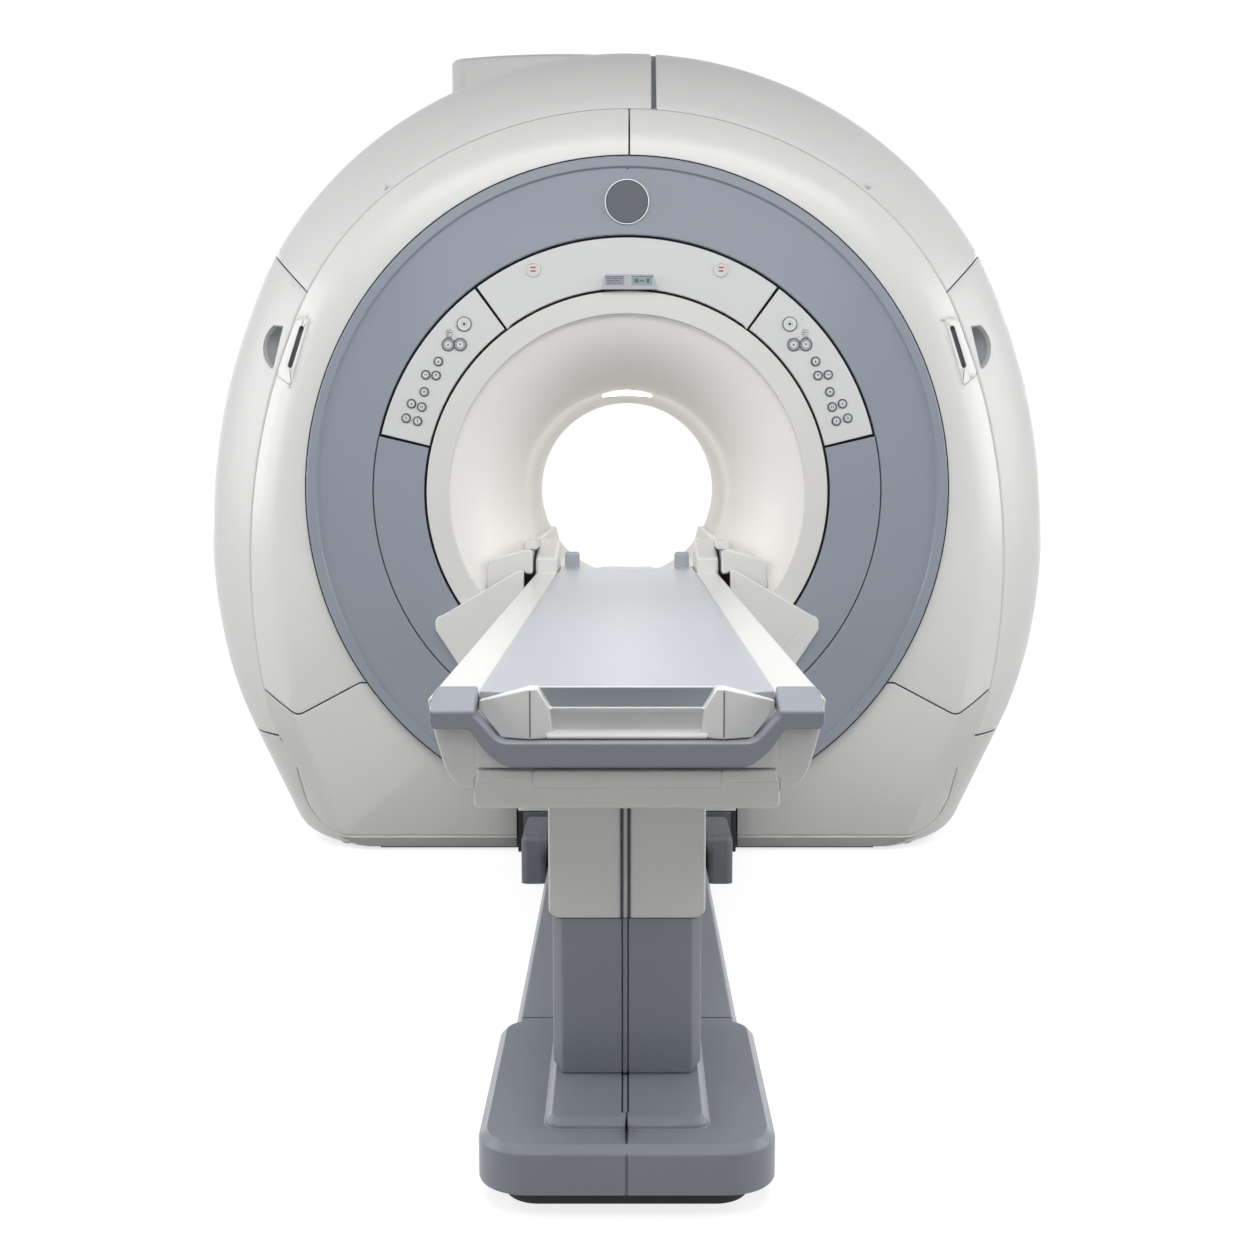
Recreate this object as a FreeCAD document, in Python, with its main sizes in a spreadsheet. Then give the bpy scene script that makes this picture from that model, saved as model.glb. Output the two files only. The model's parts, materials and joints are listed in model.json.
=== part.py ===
# A cylindrical MRI scanner with its docked patient table, in millimetres.
# The frame: the origin is on the floor straight below the isocentre, +Y runs along the bore away from
# the table, +X is to the right of someone at the table's foot, and +Z is up.
import FreeCAD, Part
import math
import os
import Sketcher

Vector = FreeCAD.Vector
doc = FreeCAD.newDocument("mri_scanner")
sheet = doc.addObject("Spreadsheet::Sheet", "Sizes")


class Size:
    """A number with the spreadsheet expression that gives it."""

    def __init__(self, value, text=None):
        self.value = float(value)
        self.text = text if text else f"({value:.9g})"

    def mix(self, other, sign, value):
        return Size(value, f"({self.text} {sign} {as_size(other).text})")

    def __add__(self, other):
        return self.mix(other, "+", self.value + number(other))

    def __sub__(self, other):
        return self.mix(other, "-", self.value - number(other))

    def __mul__(self, other):
        return self.mix(other, "*", self.value * number(other))

    def __truediv__(self, other):
        return self.mix(other, "/", self.value / number(other))

    def __radd__(self, other):
        return as_size(other) + self

    def __rsub__(self, other):
        return as_size(other) - self

    def __rmul__(self, other):
        return as_size(other) * self

    def __neg__(self):
        return Size(-self.value, f"(0 - {self.text})")


def as_size(value):
    return value if isinstance(value, Size) else Size(value)


def number(value):
    return value.value if isinstance(value, Size) else float(value)


cells = [0]


def cell(name, value):
    """Writes one driving size to the sheet, under its alias."""
    cells[0] += 1
    place = f"B{cells[0]}"
    sheet.set(f"A{cells[0]}", name)
    sheet.set(place, str(value))
    sheet.setAlias(place, name)
    return Size(value, f"Sizes.{name}")


# ---- Driving sizes -------------------------------------------------------------------------------
bore_radius = cell("bore_radius", 300)
bore_height = cell("bore_height", 1000)
tube_wall = cell("tube_wall", 6)
tube_front = cell("tube_front", -440)
tube_back = cell("tube_back", 450)
cover_front = cell("cover_front", -720)
cover_back = cell("cover_back", 800)
cover_wall = cell("cover_wall", 8)
cover_gap = cell("cover_gap", 4)
foot_round = cell("foot_round", 100)
floor_gap = cell("floor_gap", 10)
seam_back = cell("seam_back", 40)
shoulder_back = cell("shoulder_back", 260)
rear_seam = cell("rear_seam", 600)
front_top = cell("front_top", 1928)
widest_top = cell("widest_top", 2247)
flare_radius = cell("flare_radius", 488)
bezel_width = cell("bezel_width", 66)
panel_width = cell("panel_width", 143)
disc_side = cell("disc_side", 183)
disc_rise = cell("disc_rise", 208)
disc_lip = cell("disc_lip", 28)
lip_rise = cell("lip_rise", 8)
panel_thick = cell("panel_thick", 14)
panel_gap = cell("panel_gap", 7)
disc_gap = cell("disc_gap", 3)
top_panel_angle = cell("top_panel_angle", 36.3)
side_panel_angle = cell("side_panel_angle", 76.5)
button_radius = cell("button_radius", 12.6)
call_radius = cell("call_radius", 20)
button_depth = cell("button_depth", 9)
button_proud = cell("button_proud", 3.5)
button_travel = cell("button_travel", 2)
button_clear = cell("button_clear", 0.5)
key_edge = cell("key_edge", 1.5)
key_dish = cell("key_dish", 1)
stop_radius = cell("stop_radius", 21)
emblem_radius = cell("emblem_radius", 58)
emblem_rise = cell("emblem_rise", 88)
bay_half_width = cell("bay_half_width", 290)
bay_top = cell("bay_top", 868)
bay_wall = cell("bay_wall", 6)
wing_thick = cell("wing_thick", 16)
dock_half_width = cell("dock_half_width", 305)
dock_height = cell("dock_height", 116)
vessel_radius = cell("vessel_radius", 900)
vessel_bore = cell("vessel_bore", 450)
vessel_front = cell("vessel_front", -415)
vessel_back = cell("vessel_back", 560)
vessel_wall = cell("vessel_wall", 12)
foot_width = cell("foot_width", 160)
plate_height = cell("plate_height", 12)
foot_spread = cell("foot_spread", 560)
rail_top = cell("rail_top", 780)
rail_half_width = cell("rail_half_width", 255)
table_foot = cell("table_foot", -3000)
table_head = cell("table_head", -462)
frame_floor = cell("frame_floor", 700)
frame_bottom = cell("frame_bottom", 662)
guard_length = cell("guard_length", 240)
guard_height = cell("guard_height", 88)
guard_step = cell("guard_step", 44)
cradle_top = cell("cradle_top", 787)
cradle_half_width = cell("cradle_half_width", 190)
cradle_depth = cell("cradle_depth", 42)
cradle_edge = cell("cradle_edge", 11)
cradle_dish = cell("cradle_dish", 9)
cradle_clear = cell("cradle_clear", 1)
cradle_length = cell("cradle_length", 2545)
post_height = cell("post_height", 42)
pan_bottom = cell("pan_bottom", 634)
pan_half_width = cell("pan_half_width", 197)
sleeve_half_width = cell("sleeve_half_width", 122)
sleeve_wall = cell("sleeve_wall", 5)
sleeve_front = cell("sleeve_front", -2620)
sleeve_depth = cell("sleeve_depth", 250)
sleeve_bottom = cell("sleeve_bottom", 374)
column_clear = cell("column_clear", 0.4)
column_top = cell("column_top", 445)
lift_travel = cell("lift_travel", 170)
bay_clear = cell("bay_clear", 72)
base_top = cell("base_top", 108)
base_bottom = cell("base_bottom", 50)
base_front = cell("base_front", -2878)
base_depth = cell("base_depth", 530)
base_half_width = cell("base_half_width", 228)
base_round = cell("base_round", 78)
arm_half_width = cell("arm_half_width", 188)
arm_top = cell("arm_top", 100)
arm_bottom = cell("arm_bottom", 30)
arm_end = cell("arm_end", -870)
dock_foot_length = cell("dock_foot_length", 580)
dock_foot_width = cell("dock_foot_width", 55)
dock_foot_height = cell("dock_foot_height", 146)
turret_left = cell("turret_left", -540)
turret_right = cell("turret_right", 70)
turret_front = cell("turret_front", -120)
turret_back = cell("turret_back", 470)
turret_rise = cell("turret_rise", 96)
turret_round = cell("turret_round", 46)
shell_split = cell("shell_split", 73)
split_gap = cell("split_gap", 14)
cover_split = cell("cover_split", 6)
seat = cell("seat", 0.3)
doc.recompute()

# The rings round the bore are each set out from the one inside it.
bezel_radius = flare_radius + bezel_width
panel_radius = bezel_radius + panel_width
disc_half_width = panel_radius + disc_side
disc_half_height = panel_radius + disc_rise
emblem_height = panel_radius + emblem_rise
turret_top = widest_top + turret_rise
base_back = base_front + base_depth

# How far the cutting tools reach past everything, in front, above and to each side.
ahead = Size(-900)
above = Size(2600)
aside = Size(1500)

nodes = []


# ---- Helpers -------------------------------------------------------------------------------------
def bind(thing, **sizes):
    """Ties an object's properties to the sheet."""
    for name, size in sizes.items():
        thing.setExpression(name.replace("__", "."), as_size(size).text)


def at(thing, x=0, y=0, z=0):
    bind(thing, Placement__Base__x=x, Placement__Base__y=y, Placement__Base__z=z)
    return thing


def keep(thing, label):
    """Gives a finished sub-part the label that names its file."""
    thing.Label = label
    nodes.append(thing)
    return thing


def box(name, x, y, z):
    """A box between two sizes along each axis."""
    made = doc.addObject("Part::Box", name)
    bind(made, Length=as_size(x[1]) - x[0], Width=as_size(y[1]) - y[0], Height=as_size(z[1]) - z[0])
    return at(made, x[0], y[0], z[0])


def disc(name, radius, y, x=0, z=bore_height):
    """A cylinder along the bore, from y[0] to y[1]."""
    made = doc.addObject("Part::Cylinder", name)
    bind(made, Radius=radius, Height=as_size(y[1]) - y[0])
    made.Placement.Rotation = FreeCAD.Rotation(Vector(1, 0, 0), -90)
    return at(made, x, y[0], z)


def cut(name, base, *tools):
    for count, tool in enumerate(tools):
        made = doc.addObject("Part::Cut", name if count == len(tools) - 1 else f"{name}_cut{count}")
        made.Base = base
        made.Tool = tool
        base = made
    return base


def fuse(name, *shapes):
    made = doc.addObject("Part::MultiFuse", name)
    made.Shapes = list(shapes)
    made.Refine = True
    return made


def common(name, *shapes):
    made = doc.addObject("Part::MultiCommon", name)
    made.Shapes = list(shapes)
    return made


PLANES = {"XZ": (Vector(1, 0, 0), 90), "XY": (Vector(1, 0, 0), 0), "YZ": (Vector(1, 1, 1), 120)}


def draw(sketch, outline):
    """Draws a closed outline. A corner is (u, v), or (u, v, radius) where an arc of that radius leads to
    it from the corner before: a positive radius bulges to the right of the way along."""
    count = len(outline)
    start = len(sketch.Geometry)
    for index in range(count):
        here = outline[index - 1]
        there = outline[index]
        a = Vector(number(here[0]), number(here[1]), 0)
        b = Vector(number(there[0]), number(there[1]), 0)
        if len(there) == 2:
            sketch.addGeometry(Part.LineSegment(a, b), False)
            continue
        half = (b - a) * 0.5
        radius = number(there[2])
        rise = abs(radius) - math.sqrt(max(radius * radius - half.Length ** 2, 0))
        side = Vector(half.y, -half.x, 0).normalize() * math.copysign(rise, radius)
        first, last = (a, b) if radius > 0 else (b, a)
        sketch.addGeometry(Part.Arc(first, a + half + side, last), False)
    ends = []
    for index in range(count):
        geometry = sketch.Geometry[start + index]
        target = Vector(number(outline[index][0]), number(outline[index][1]), 0)
        near = (geometry.EndPoint - target).Length < (geometry.StartPoint - target).Length
        ends.append((2, 1) if near else (1, 2))
    for index in range(count):
        after = (index + 1) % count
        sketch.addConstraint(Sketcher.Constraint(
            "Coincident", start + index, ends[index][0], start + after, ends[after][1]))
    for index in range(count):
        corner = outline[index]
        for axis, size in (("DistanceX", corner[0]), ("DistanceY", corner[1])):
            which = sketch.addConstraint(Sketcher.Constraint(
                axis, -1, 1, start + index, ends[index][0], number(size)))
            sketch.setExpression(f"Constraints[{which}]", as_size(size).text)
        if len(corner) == 3:
            which = sketch.addConstraint(Sketcher.Constraint("Radius", start + index,
                abs(number(corner[2]))))
            flipped = corner[2] if number(corner[2]) > 0 else -as_size(corner[2])
            sketch.setExpression(f"Constraints[{which}]", as_size(flipped).text)


def prism(name, plane, outline, low, high):
    """An outline in a plane, extruded between two places on the third axis."""
    sketch = doc.addObject("Sketcher::SketchObject", name + "_outline")
    axis, angle = PLANES[plane]
    sketch.Placement = FreeCAD.Placement(Vector(), FreeCAD.Rotation(axis, angle))
    draw(sketch, outline)
    third = {"XZ": "y", "XY": "z", "YZ": "x"}[plane]
    sketch.setExpression(f"Placement.Base.{third}", as_size(low).text)
    made = doc.addObject("Part::Extrusion", name)
    made.Base = sketch
    made.DirMode = "Custom"
    made.Dir = {"y": Vector(0, 1, 0), "z": Vector(0, 0, 1), "x": Vector(1, 0, 0)}[third]
    made.Solid = True
    bind(made, LengthFwd=as_size(high) - low)
    return made


def flip(corners, sign):
    """An outline drawn for the left side, or its mirror image for the right."""
    if sign < 0:
        return corners
    return [(-as_size(corner[0]), *corner[1:2], *[-as_size(arc) for arc in corner[2:]])
            for corner in corners]


def turned(name, outline):
    """An outline of (radius, y) corners turned about the bore's axis."""
    sketch = doc.addObject("Sketcher::SketchObject", name + "_profile")
    draw(sketch, outline)
    made = doc.addObject("Part::Revolution", name)
    made.Source = sketch
    made.Axis = Vector(0, 1, 0)
    made.Angle = 360
    made.Solid = True
    return at(made, 0, 0, bore_height)


def mirrored(name, source, label):
    made = doc.addObject("Part::Mirroring", name)
    made.Source = source
    made.Normal = Vector(1, 0, 0)
    made.Base = Vector(0, 0, 0)
    return keep(made, label)


def fixed(name, shape):
    """A shape that the functions below make from the sheet's sizes."""
    made = doc.addObject("Part::Feature", name)
    made.Shape = shape
    return made


def on_circle(radius, degrees):
    """A place on a circle about the bore, by its angle from straight up towards +X."""
    angle = math.radians(number(degrees))
    return radius * math.sin(angle), bore_height + radius * math.cos(angle)


# ---- The gantry's covers -------------------------------------------------------------------------
# Each half of the outline is four tangent arcs, from the crown down the side, and a straight flank.
HEADINGS = (0, 32, 68, 100, 115)
FRONT_ARCS = (1012, 718, 1913, 453)
WIDEST_ARCS = (1194, 1166, 1650, 1100)
# How far the outline has grown from the front one to the widest one, along the depth.
GROWTH = (
    (cover_front, 0.0), (cover_front + seam_back, 0.367), (cover_front + shoulder_back * 0.42, 0.71),
    (cover_front + shoulder_back * 0.68, 0.9), (cover_front + shoulder_back, 0.985),
    (cover_front + shoulder_back * 1.6, 1.0), (0, 1.0), (rear_seam - 120, 0.985), (rear_seam, 0.93),
    (rear_seam + (cover_back - rear_seam) * 0.6, 0.72), (cover_back, 0.36),
)


def outline_wire(depth, growth, inset):
    """The covers' outline at one depth, drawn in by the inset."""
    top = number(front_top) + growth * (number(widest_top) - number(front_top)) - inset
    right = []
    x, z = 0.0, top
    for arc, narrow, wide, start, end in zip(range(4), FRONT_ARCS, WIDEST_ARCS, HEADINGS, HEADINGS[1:]):
        radius = narrow + growth * (wide - narrow) - inset
        points = []
        for heading in (start, (start + end) / 2, end):
            turn, begin = math.radians(heading), math.radians(start)
            points.append((x + radius * (math.sin(turn) - math.sin(begin)),
                           z - radius * (math.cos(begin) - math.cos(turn))))
        right.append(points)
        x, z = points[-1]
    # The flank runs down to a rounded foot. A hollow's outline drops straight out of it, so that the
    # wall keeps its thickness to its lower edge.
    base = number(floor_gap)
    round_z = base + number(foot_round)
    radius = number(foot_round) - inset
    last = math.radians(HEADINGS[-1])
    foot_z = round_z + radius * math.cos(last)
    foot_x = x - (z - foot_z) * math.tan(last - math.pi / 2)
    round_x = foot_x - radius * math.sin(last)
    low = math.radians(165 if inset > 0 else 180)
    foot = [(round_x + radius * math.sin(turn), round_z + radius * math.cos(turn))
            for turn in (last, (last + low) / 2, low)]
    base = base if inset > 0 else foot[-1][1]

    def place(point, side):
        return Vector(side * point[0], number(depth), point[1])

    edges = [Part.Arc(*[place(p, 1) for p in points]).toShape() for points in right]
    line = [(x, z), foot[0]]
    edges.append(Part.LineSegment(*[place(p, 1) for p in line]).toShape())
    edges.append(Part.Arc(*[place(p, 1) for p in foot]).toShape())
    drop = [foot[-1], (foot[-1][0], base)]
    if inset > 0:
        edges.append(Part.LineSegment(*[place(p, 1) for p in drop]).toShape())
    edges.append(Part.LineSegment(place(drop[1], 1), place(drop[1], -1)).toShape())
    if inset > 0:
        edges.append(Part.LineSegment(*[place(p, -1) for p in reversed(drop)]).toShape())
    edges.append(Part.Arc(*[place(p, -1) for p in reversed(foot)]).toShape())
    edges.append(Part.LineSegment(*[place(p, -1) for p in reversed(line)]).toShape())
    edges += [Part.Arc(*[place(p, -1) for p in reversed(points)]).toShape() for points in reversed(right)]
    return Part.Wire(edges)


def outline_body(inset):
    """The solid inside the covers' outline, drawn in by the inset on every side but the bottom."""
    wires = []
    for index, (depth, growth) in enumerate(GROWTH):
        shift = inset if index == 0 else -inset if index == len(GROWTH) - 1 else 0
        wires.append(outline_wire(number(depth) + shift, growth, inset))
    return Part.makeLoft(wires, True, False)


outer_body = fixed("outer_body", outline_body(0))
seat_body = fixed("seat_body", outline_body(-number(seat)))
inner_body = fixed("inner_body", outline_body(number(cover_wall)))
cover_skin = cut("cover_skin", outer_body, inner_body)

seam = cover_front + seam_back
half_gap = cover_gap / 2
plate_back = cover_front - seat
plate_front = plate_back - panel_thick
bay_cut = bay_half_width + 1
bay_floor = frame_bottom - lift_travel - bay_clear


def sector(name, radius, y, start, end):
    """A slice of a disc along the bore, between two angles from straight up towards +X."""
    made = disc(name, radius, y)
    bind(made, Angle=as_size(end) - start)
    turn = FreeCAD.Rotation(Vector(0, 0, 1), number(start) - 90)
    made.Placement = FreeCAD.Placement(made.Placement.Base, FreeCAD.Rotation(Vector(1, 0, 0), -90) * turn)
    return made


def ring(name, inner, outer, y):
    return cut(name, disc(name + "_outer", outer, y), disc(name + "_inner", inner, (y[0] - 1, y[1] + 1)))


def bay_tool(name, half_width, top, low=-10):
    """The room that the table's head end takes out of the front of the gantry."""
    return box(name, (-as_size(half_width), half_width), (ahead, tube_front), (as_size(low), top))


def edges_of(thing, wanted):
    """The numbers of the edges that a test picks, for a fillet or a chamfer."""
    doc.recompute()
    return [index + 1 for index, edge in enumerate(thing.Shape.Edges) if wanted(edge)]


def rounded(name, base, radius, wanted, kind="Part::Fillet"):
    made = doc.addObject(kind, name)
    made.Base = base
    made.Edges = [(index, number(radius), number(radius)) for index in edges_of(base, wanted)]
    return made


def along(axis, shortest=0):
    """A test for straight edges along one axis."""
    way = {"x": Vector(1, 0, 0), "y": Vector(0, 1, 0), "z": Vector(0, 0, 1)}[axis]

    def wanted(edge):
        run = edge.Vertexes[-1].Point - edge.Vertexes[0].Point
        return edge.Length > shortest and abs(run.dot(way)) > 0.999 * edge.Length

    return wanted


# ---- What the covers are cut with ----------------------------------------------------------------
opening = disc("opening", flare_radius + 12, (ahead, seam))
skirt_gap = box("skirt_gap", (-bay_half_width - 20, bay_half_width + 20), (ahead, seam + 60),
                (Size(-5), Size(700)))
SPLIT = ((-746, 476), (-905.5, 391.2), (-935.2, 393.2, -28), (-1012, 448), (-1500, 690))


def shifted(corners, rise):
    return [(corner[0], corner[1] + rise, *corner[2:]) for corner in corners]


def back_along(corners):
    """The same line drawn from its other end."""
    arcs = [corner[2:] for corner in corners[1:]] + [()]
    return [(*corner[:2], *[-arc[0] for _ in arc]) for corner, arc in reversed(list(zip(corners, arcs)))]


upper_line = shifted(SPLIT, half_gap)
lower_line = shifted(SPLIT, -half_gap)
left_of_split = cover_split - half_gap
upper_zone = prism("upper_zone", "XZ", [
    (left_of_split, Size(476) + half_gap), *upper_line, (-aside, above), (left_of_split, above)],
    ahead, seam - half_gap)
upper_zone_right = prism("upper_zone_right", "XZ", [
    (left_of_split + cover_gap, Size(476) + half_gap), *flip(upper_line, 1), (aside, above),
    (left_of_split + cover_gap, above)], ahead, seam - half_gap)
lower_front = prism("lower_front", "XZ", [
    (0, Size(476) - half_gap), (0, 0), (-aside, 0), *back_along(lower_line)], ahead, seam)
flank_top = Size(320)
lower_side_back = Size(-400)
lower_side = box("lower_side", (-aside, Size(-600)), (seam - 1, lower_side_back - half_gap),
                 (Size(0), flank_top - half_gap))
lower_zone = fuse("lower_zone", lower_front, lower_side)

# The pull plate stands on the front cover beside the seam, with a finger slot.
raised_body = fixed("raised_body", outline_body(-5))
pull_plate = common("pull_plate", raised_body, prism("pull_outline", "XZ", [
    (-927, 1300, -8), (-956, 1321), (-963, 1341, -18), (-917, 1462), (-900, 1479, -22), (-878, 1482),
    (-869, 1470, -12), (-919, 1306)], ahead, seam - half_gap - 3))
pull_slot = prism("pull_slot", "XZ", [
    (-930.5, 1353), (-917.5, 1349, 7), (-883.5, 1452), (-896.5, 1456, 7)], ahead, seam)
front_skin = common("front_skin", cover_skin, upper_zone)
front_solid = cut("front_solid", fuse("front_with_pull", front_skin, cut("pull_pad", pull_plate,
    inner_body)),
                  opening, pull_slot)
left_front_cover = keep(cut("left_front_cover", front_solid, skirt_gap), "left_front_cover")
pull_plate_right = doc.addObject("Part::Mirroring", "pull_plate_right")
pull_plate_right.Source = cut("pull_pad_slotted", pull_plate, inner_body, pull_slot)
pull_plate_right.Normal = Vector(1, 0, 0)
right_slot = doc.addObject("Part::Mirroring", "right_slot")
right_slot.Source = pull_slot
right_slot.Normal = Vector(1, 0, 0)
right_skin = common("right_skin", cover_skin, upper_zone_right)
keep(cut("right_front_cover", fuse("right_with_pull", right_skin, pull_plate_right), opening, right_slot,
         skirt_gap), "right_front_cover")

# The lower covers: the front corner and the flank below the side panels, with a skirt line.
skirt_line = prism("skirt_line", "XZ", [
    (0, 40), (-785, 40), (-921, 154, -138), (-935, 230), (-932, 230), (-918, 154), (-785, 43, 135), (0, 43)],
    ahead, Size(-500))
skirt_cut = cut("skirt_cut", skirt_line, fixed("skirt_core", outline_body(3)))
left_lower_cover = keep(cut("left_lower_cover", common("lower_skin", cover_skin, lower_zone), opening,
                            skirt_gap,
                            skirt_cut), "left_lower_cover")
mirrored("right_lower_cover", left_lower_cover, "right_lower_cover")

# The side panels: a finger scoop is pressed in beside each pull plate.
TOP_LINE = (930, 1607)
reach = Size(1300)
side_low = prism("side_low", "XZ", [
    (0, TOP_LINE[1] - TOP_LINE[0] - cover_gap), (-TOP_LINE[0] - reach, TOP_LINE[1] + reach - cover_gap),
    (-3000, 2900), (-3000, 0), (0, 0)], seam + half_gap, rear_seam - half_gap)
side_notch = box("side_notch", (-aside, Size(-600)), (seam - 1, lower_side_back + half_gap),
                 (Size(0), flank_top + half_gap))
scoop_boss = common("scoop_boss", fixed("boss_body", outline_body(0.5)),
                    box("scoop_block", (Size(-1080), Size(-950)), (seam + 13, Size(-575)),
                        (Size(1340), Size(1492))))
side_with_boss = fuse("side_with_boss", cut("side_skin", common("side_part", cover_skin, side_low),
                                            side_notch),
                      scoop_boss)
scoop = prism("scoop", "XZ", [(-950, 1462), (-981, 1466), (-985, 1347, 75.5), (-978, 1346)], ahead,
              Size(-590))
left_side_panel = keep(cut("left_side_panel", side_with_boss, scoop), "left_side_panel")
mirrored("right_side_panel", left_side_panel, "right_side_panel")

# The top shells meet a little to the right of the middle, under a dark joint.
def top_zone(name, sign):
    edge = shell_split + sign * split_gap / 2
    drop = TOP_LINE[1] - 1200
    return prism(name, "XZ", [
        (edge, 1200), (sign * (TOP_LINE[0] - drop), 1200), (sign * (TOP_LINE[0] + reach),
                                                            TOP_LINE[1] + reach),
        (edge, TOP_LINE[1] + reach)], seam + half_gap, rear_seam - half_gap)


left_shell = common("left_shell", cover_skin, top_zone("left_top_zone", -1))
tongue_block = box("tongue_block", (shell_split - split_gap / 2 - 6, shell_split + split_gap / 2 - seat),
                   (seam + half_gap, rear_seam - half_gap), (Size(1500), above))
tongue = cut("tongue", common("tongue_part", fixed("tongue_outer", outline_body(5)), tongue_block),
             inner_body)
keep(fuse("left_top_shell", left_shell, tongue), "left_top_shell")
keep(common("right_top_shell", cover_skin, top_zone("right_top_zone", 1)), "right_top_shell")

# The rear cover closes the back round the flared end of the bore tube.
rear_zone = box("rear_zone", (-aside, aside), (rear_seam + half_gap, cover_back + 5), (Size(0), above))
rear_mouth = bore_radius + 152


def tangent_arc(rise, run):
    """The radius of an arc that starts along the bore and opens out by the rise over the run."""
    return (rise * rise + run * run) / (rise * 2)


keep(cut("rear_cover", common("rear_part", cover_skin, rear_zone),
         disc("rear_hole", rear_mouth + tube_wall + seat, (rear_seam, cover_back + 20))), "rear_cover")

# The turret over the left half of the top houses the magnet's service neck.


def turret_form(name, inset, corner, top_round):
    """The turret's block, drawn in by its wall: an arched top over rounded upright corners."""
    block = prism(name + "_block", "XZ", [
        (turret_left + inset, widest_top - 347), (turret_right - inset, widest_top - 347),
        (turret_right - inset, turret_top - 20 - inset),
        (turret_left + inset, turret_top - 26 - inset, 3400)], turret_front + inset, turret_back - inset)
    upright = rounded(name + "_corners", block, corner, along("z", 100))
    return rounded(name, upright, top_round, lambda edge: edge.BoundBox.ZMin > number(turret_top) - 80)


turret_outer = turret_form("turret_outer", 0, turret_round, 12)
turret_hollow = turret_form("turret_hollow", cover_wall, turret_round - cover_wall, 4)
keep(cut("turret_cover", turret_outer, turret_hollow, seat_body), "turret_cover")

# ---- Inside the covers ---------------------------------------------------------------------------
vessel = turned("vessel", [(vessel_bore, vessel_front), (vessel_radius, vessel_front), (vessel_radius,
    vessel_back),
                           (vessel_bore, vessel_back)])
hollow = turned("hollow", [(vessel_bore + vessel_wall, vessel_front + vessel_wall),
                           (vessel_radius - vessel_wall, vessel_front + vessel_wall),
                           (vessel_radius - vessel_wall, vessel_back - vessel_wall),
                           (vessel_bore + vessel_wall, vessel_back - vessel_wall)])
service_neck = doc.addObject("Part::Cylinder", "service_neck")
bind(service_neck, Radius=150, Height=290)
at(service_neck, -235, 170, 1840)
keep(fuse("magnet_vessel", cut("tank", vessel, hollow),
          cut("neck", service_neck, disc("neck_seat", vessel_radius - 2, (0, 400)))), "magnet_vessel")
keep(turned("gradient_coil", [
    (bore_radius + 30, vessel_front + 15), (vessel_bore - seat, vessel_front + 15),
    (vessel_bore - seat, tube_back - 10), (bore_radius + 30, tube_back - 10)]), "gradient_coil")
# The bore tube runs straight through the coil and opens out to the rear cover.
rear_arc = tangent_arc(rear_mouth - bore_radius, cover_back - tube_back)
keep(turned("bore_tube", [
    (bore_radius, tube_front), (bore_radius + tube_wall, tube_front), (bore_radius + tube_wall, tube_back),
    (rear_mouth + tube_wall, cover_back, -rear_arc), (rear_mouth, cover_back), (bore_radius, tube_back,
        rear_arc)]),
     "bore_tube")

saddle_seat = disc("saddle_seat", vessel_radius + seat, (ahead, -ahead))
plate_front_edge = cover_front + 30
base_plate = box("base_plate", (Size(-700), Size(700)), (plate_front_edge, cover_back - 60),
                 (Size(0), plate_height))
saddles = [box(f"saddle_{side}", (side - foot_width / 2, side + foot_width / 2),
               (Size(-330), Size(480)), (Size(6), Size(420)))
           for side in (-foot_spread, foot_spread)]
keep(cut("magnet_feet", fuse("feet_block", base_plate, *saddles), saddle_seat), "magnet_feet")

# The cover frame: two hoops behind the seams and the struts that stand them on the base plate.
hoop_outer = fixed("hoop_outer", outline_body(number(cover_wall + seat)))
hoop_inner = fixed("hoop_inner", outline_body(number(cover_wall + seat) + 26))
hoops = cut("hoops", hoop_outer, hoop_inner)
hoop_bands = [box(f"band_{index}", (-aside, aside), (place - before, place + after), (Size(5), above))
              for index, (place, before, after) in enumerate(((seam, 4, 12), (rear_seam, 24, 24)))]
sill_low = plate_height + seat
sills = [common(f"sill_{index}", hoop_outer, box(f"sill_bar_{index}", (Size(-1200), Size(1200)),
                                                 (place - 12, place + 12),
                                                 (sill_low, sill_low + 28)))
         for index, place in enumerate((seam + 12, rear_seam))]
ties = [box(f"tie_{side}", (Size(side - 15), Size(side + 15)), (seam, rear_seam),
            (sill_low, sill_low + 28))
        for side in (-690, 690)]
frame_rings = fuse("frame_rings", common("hoop_set", hoops, fuse("bands", *hoop_bands)), *sills, *ties)
keep(cut("cover_frame", frame_rings, disc("frame_clear", flare_radius + 20, (ahead, Size(0))),
         box("dock_clear", (Size(-330), Size(330)), (ahead, seam + 24),
             (Size(60), Size(700)))), "cover_frame")

# ---- The front of the bore -----------------------------------------------------------------------
flare_arc = tangent_arc(flare_radius - bore_radius, tube_front - cover_front)
flare_lip = cover_front - 0.6 + 0.3
flare_shell = turned("flare_shell", [
    (bore_radius, tube_front - seat, -flare_arc), (bore_radius + tube_wall, tube_front - seat),
    (flare_radius + tube_wall, flare_lip, flare_arc), (flare_radius, flare_lip)])
keep(cut("front_flare", flare_shell, bay_tool("flare_bay", bay_cut, bay_top - 10)), "front_flare")
keep(cut("bezel_ring", ring("bezel", flare_radius + 1, bezel_radius - panel_gap / 2,
                            (plate_front, plate_back)),
         bay_tool("bezel_bay", bay_cut, bore_height)), "bezel_ring")


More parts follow.
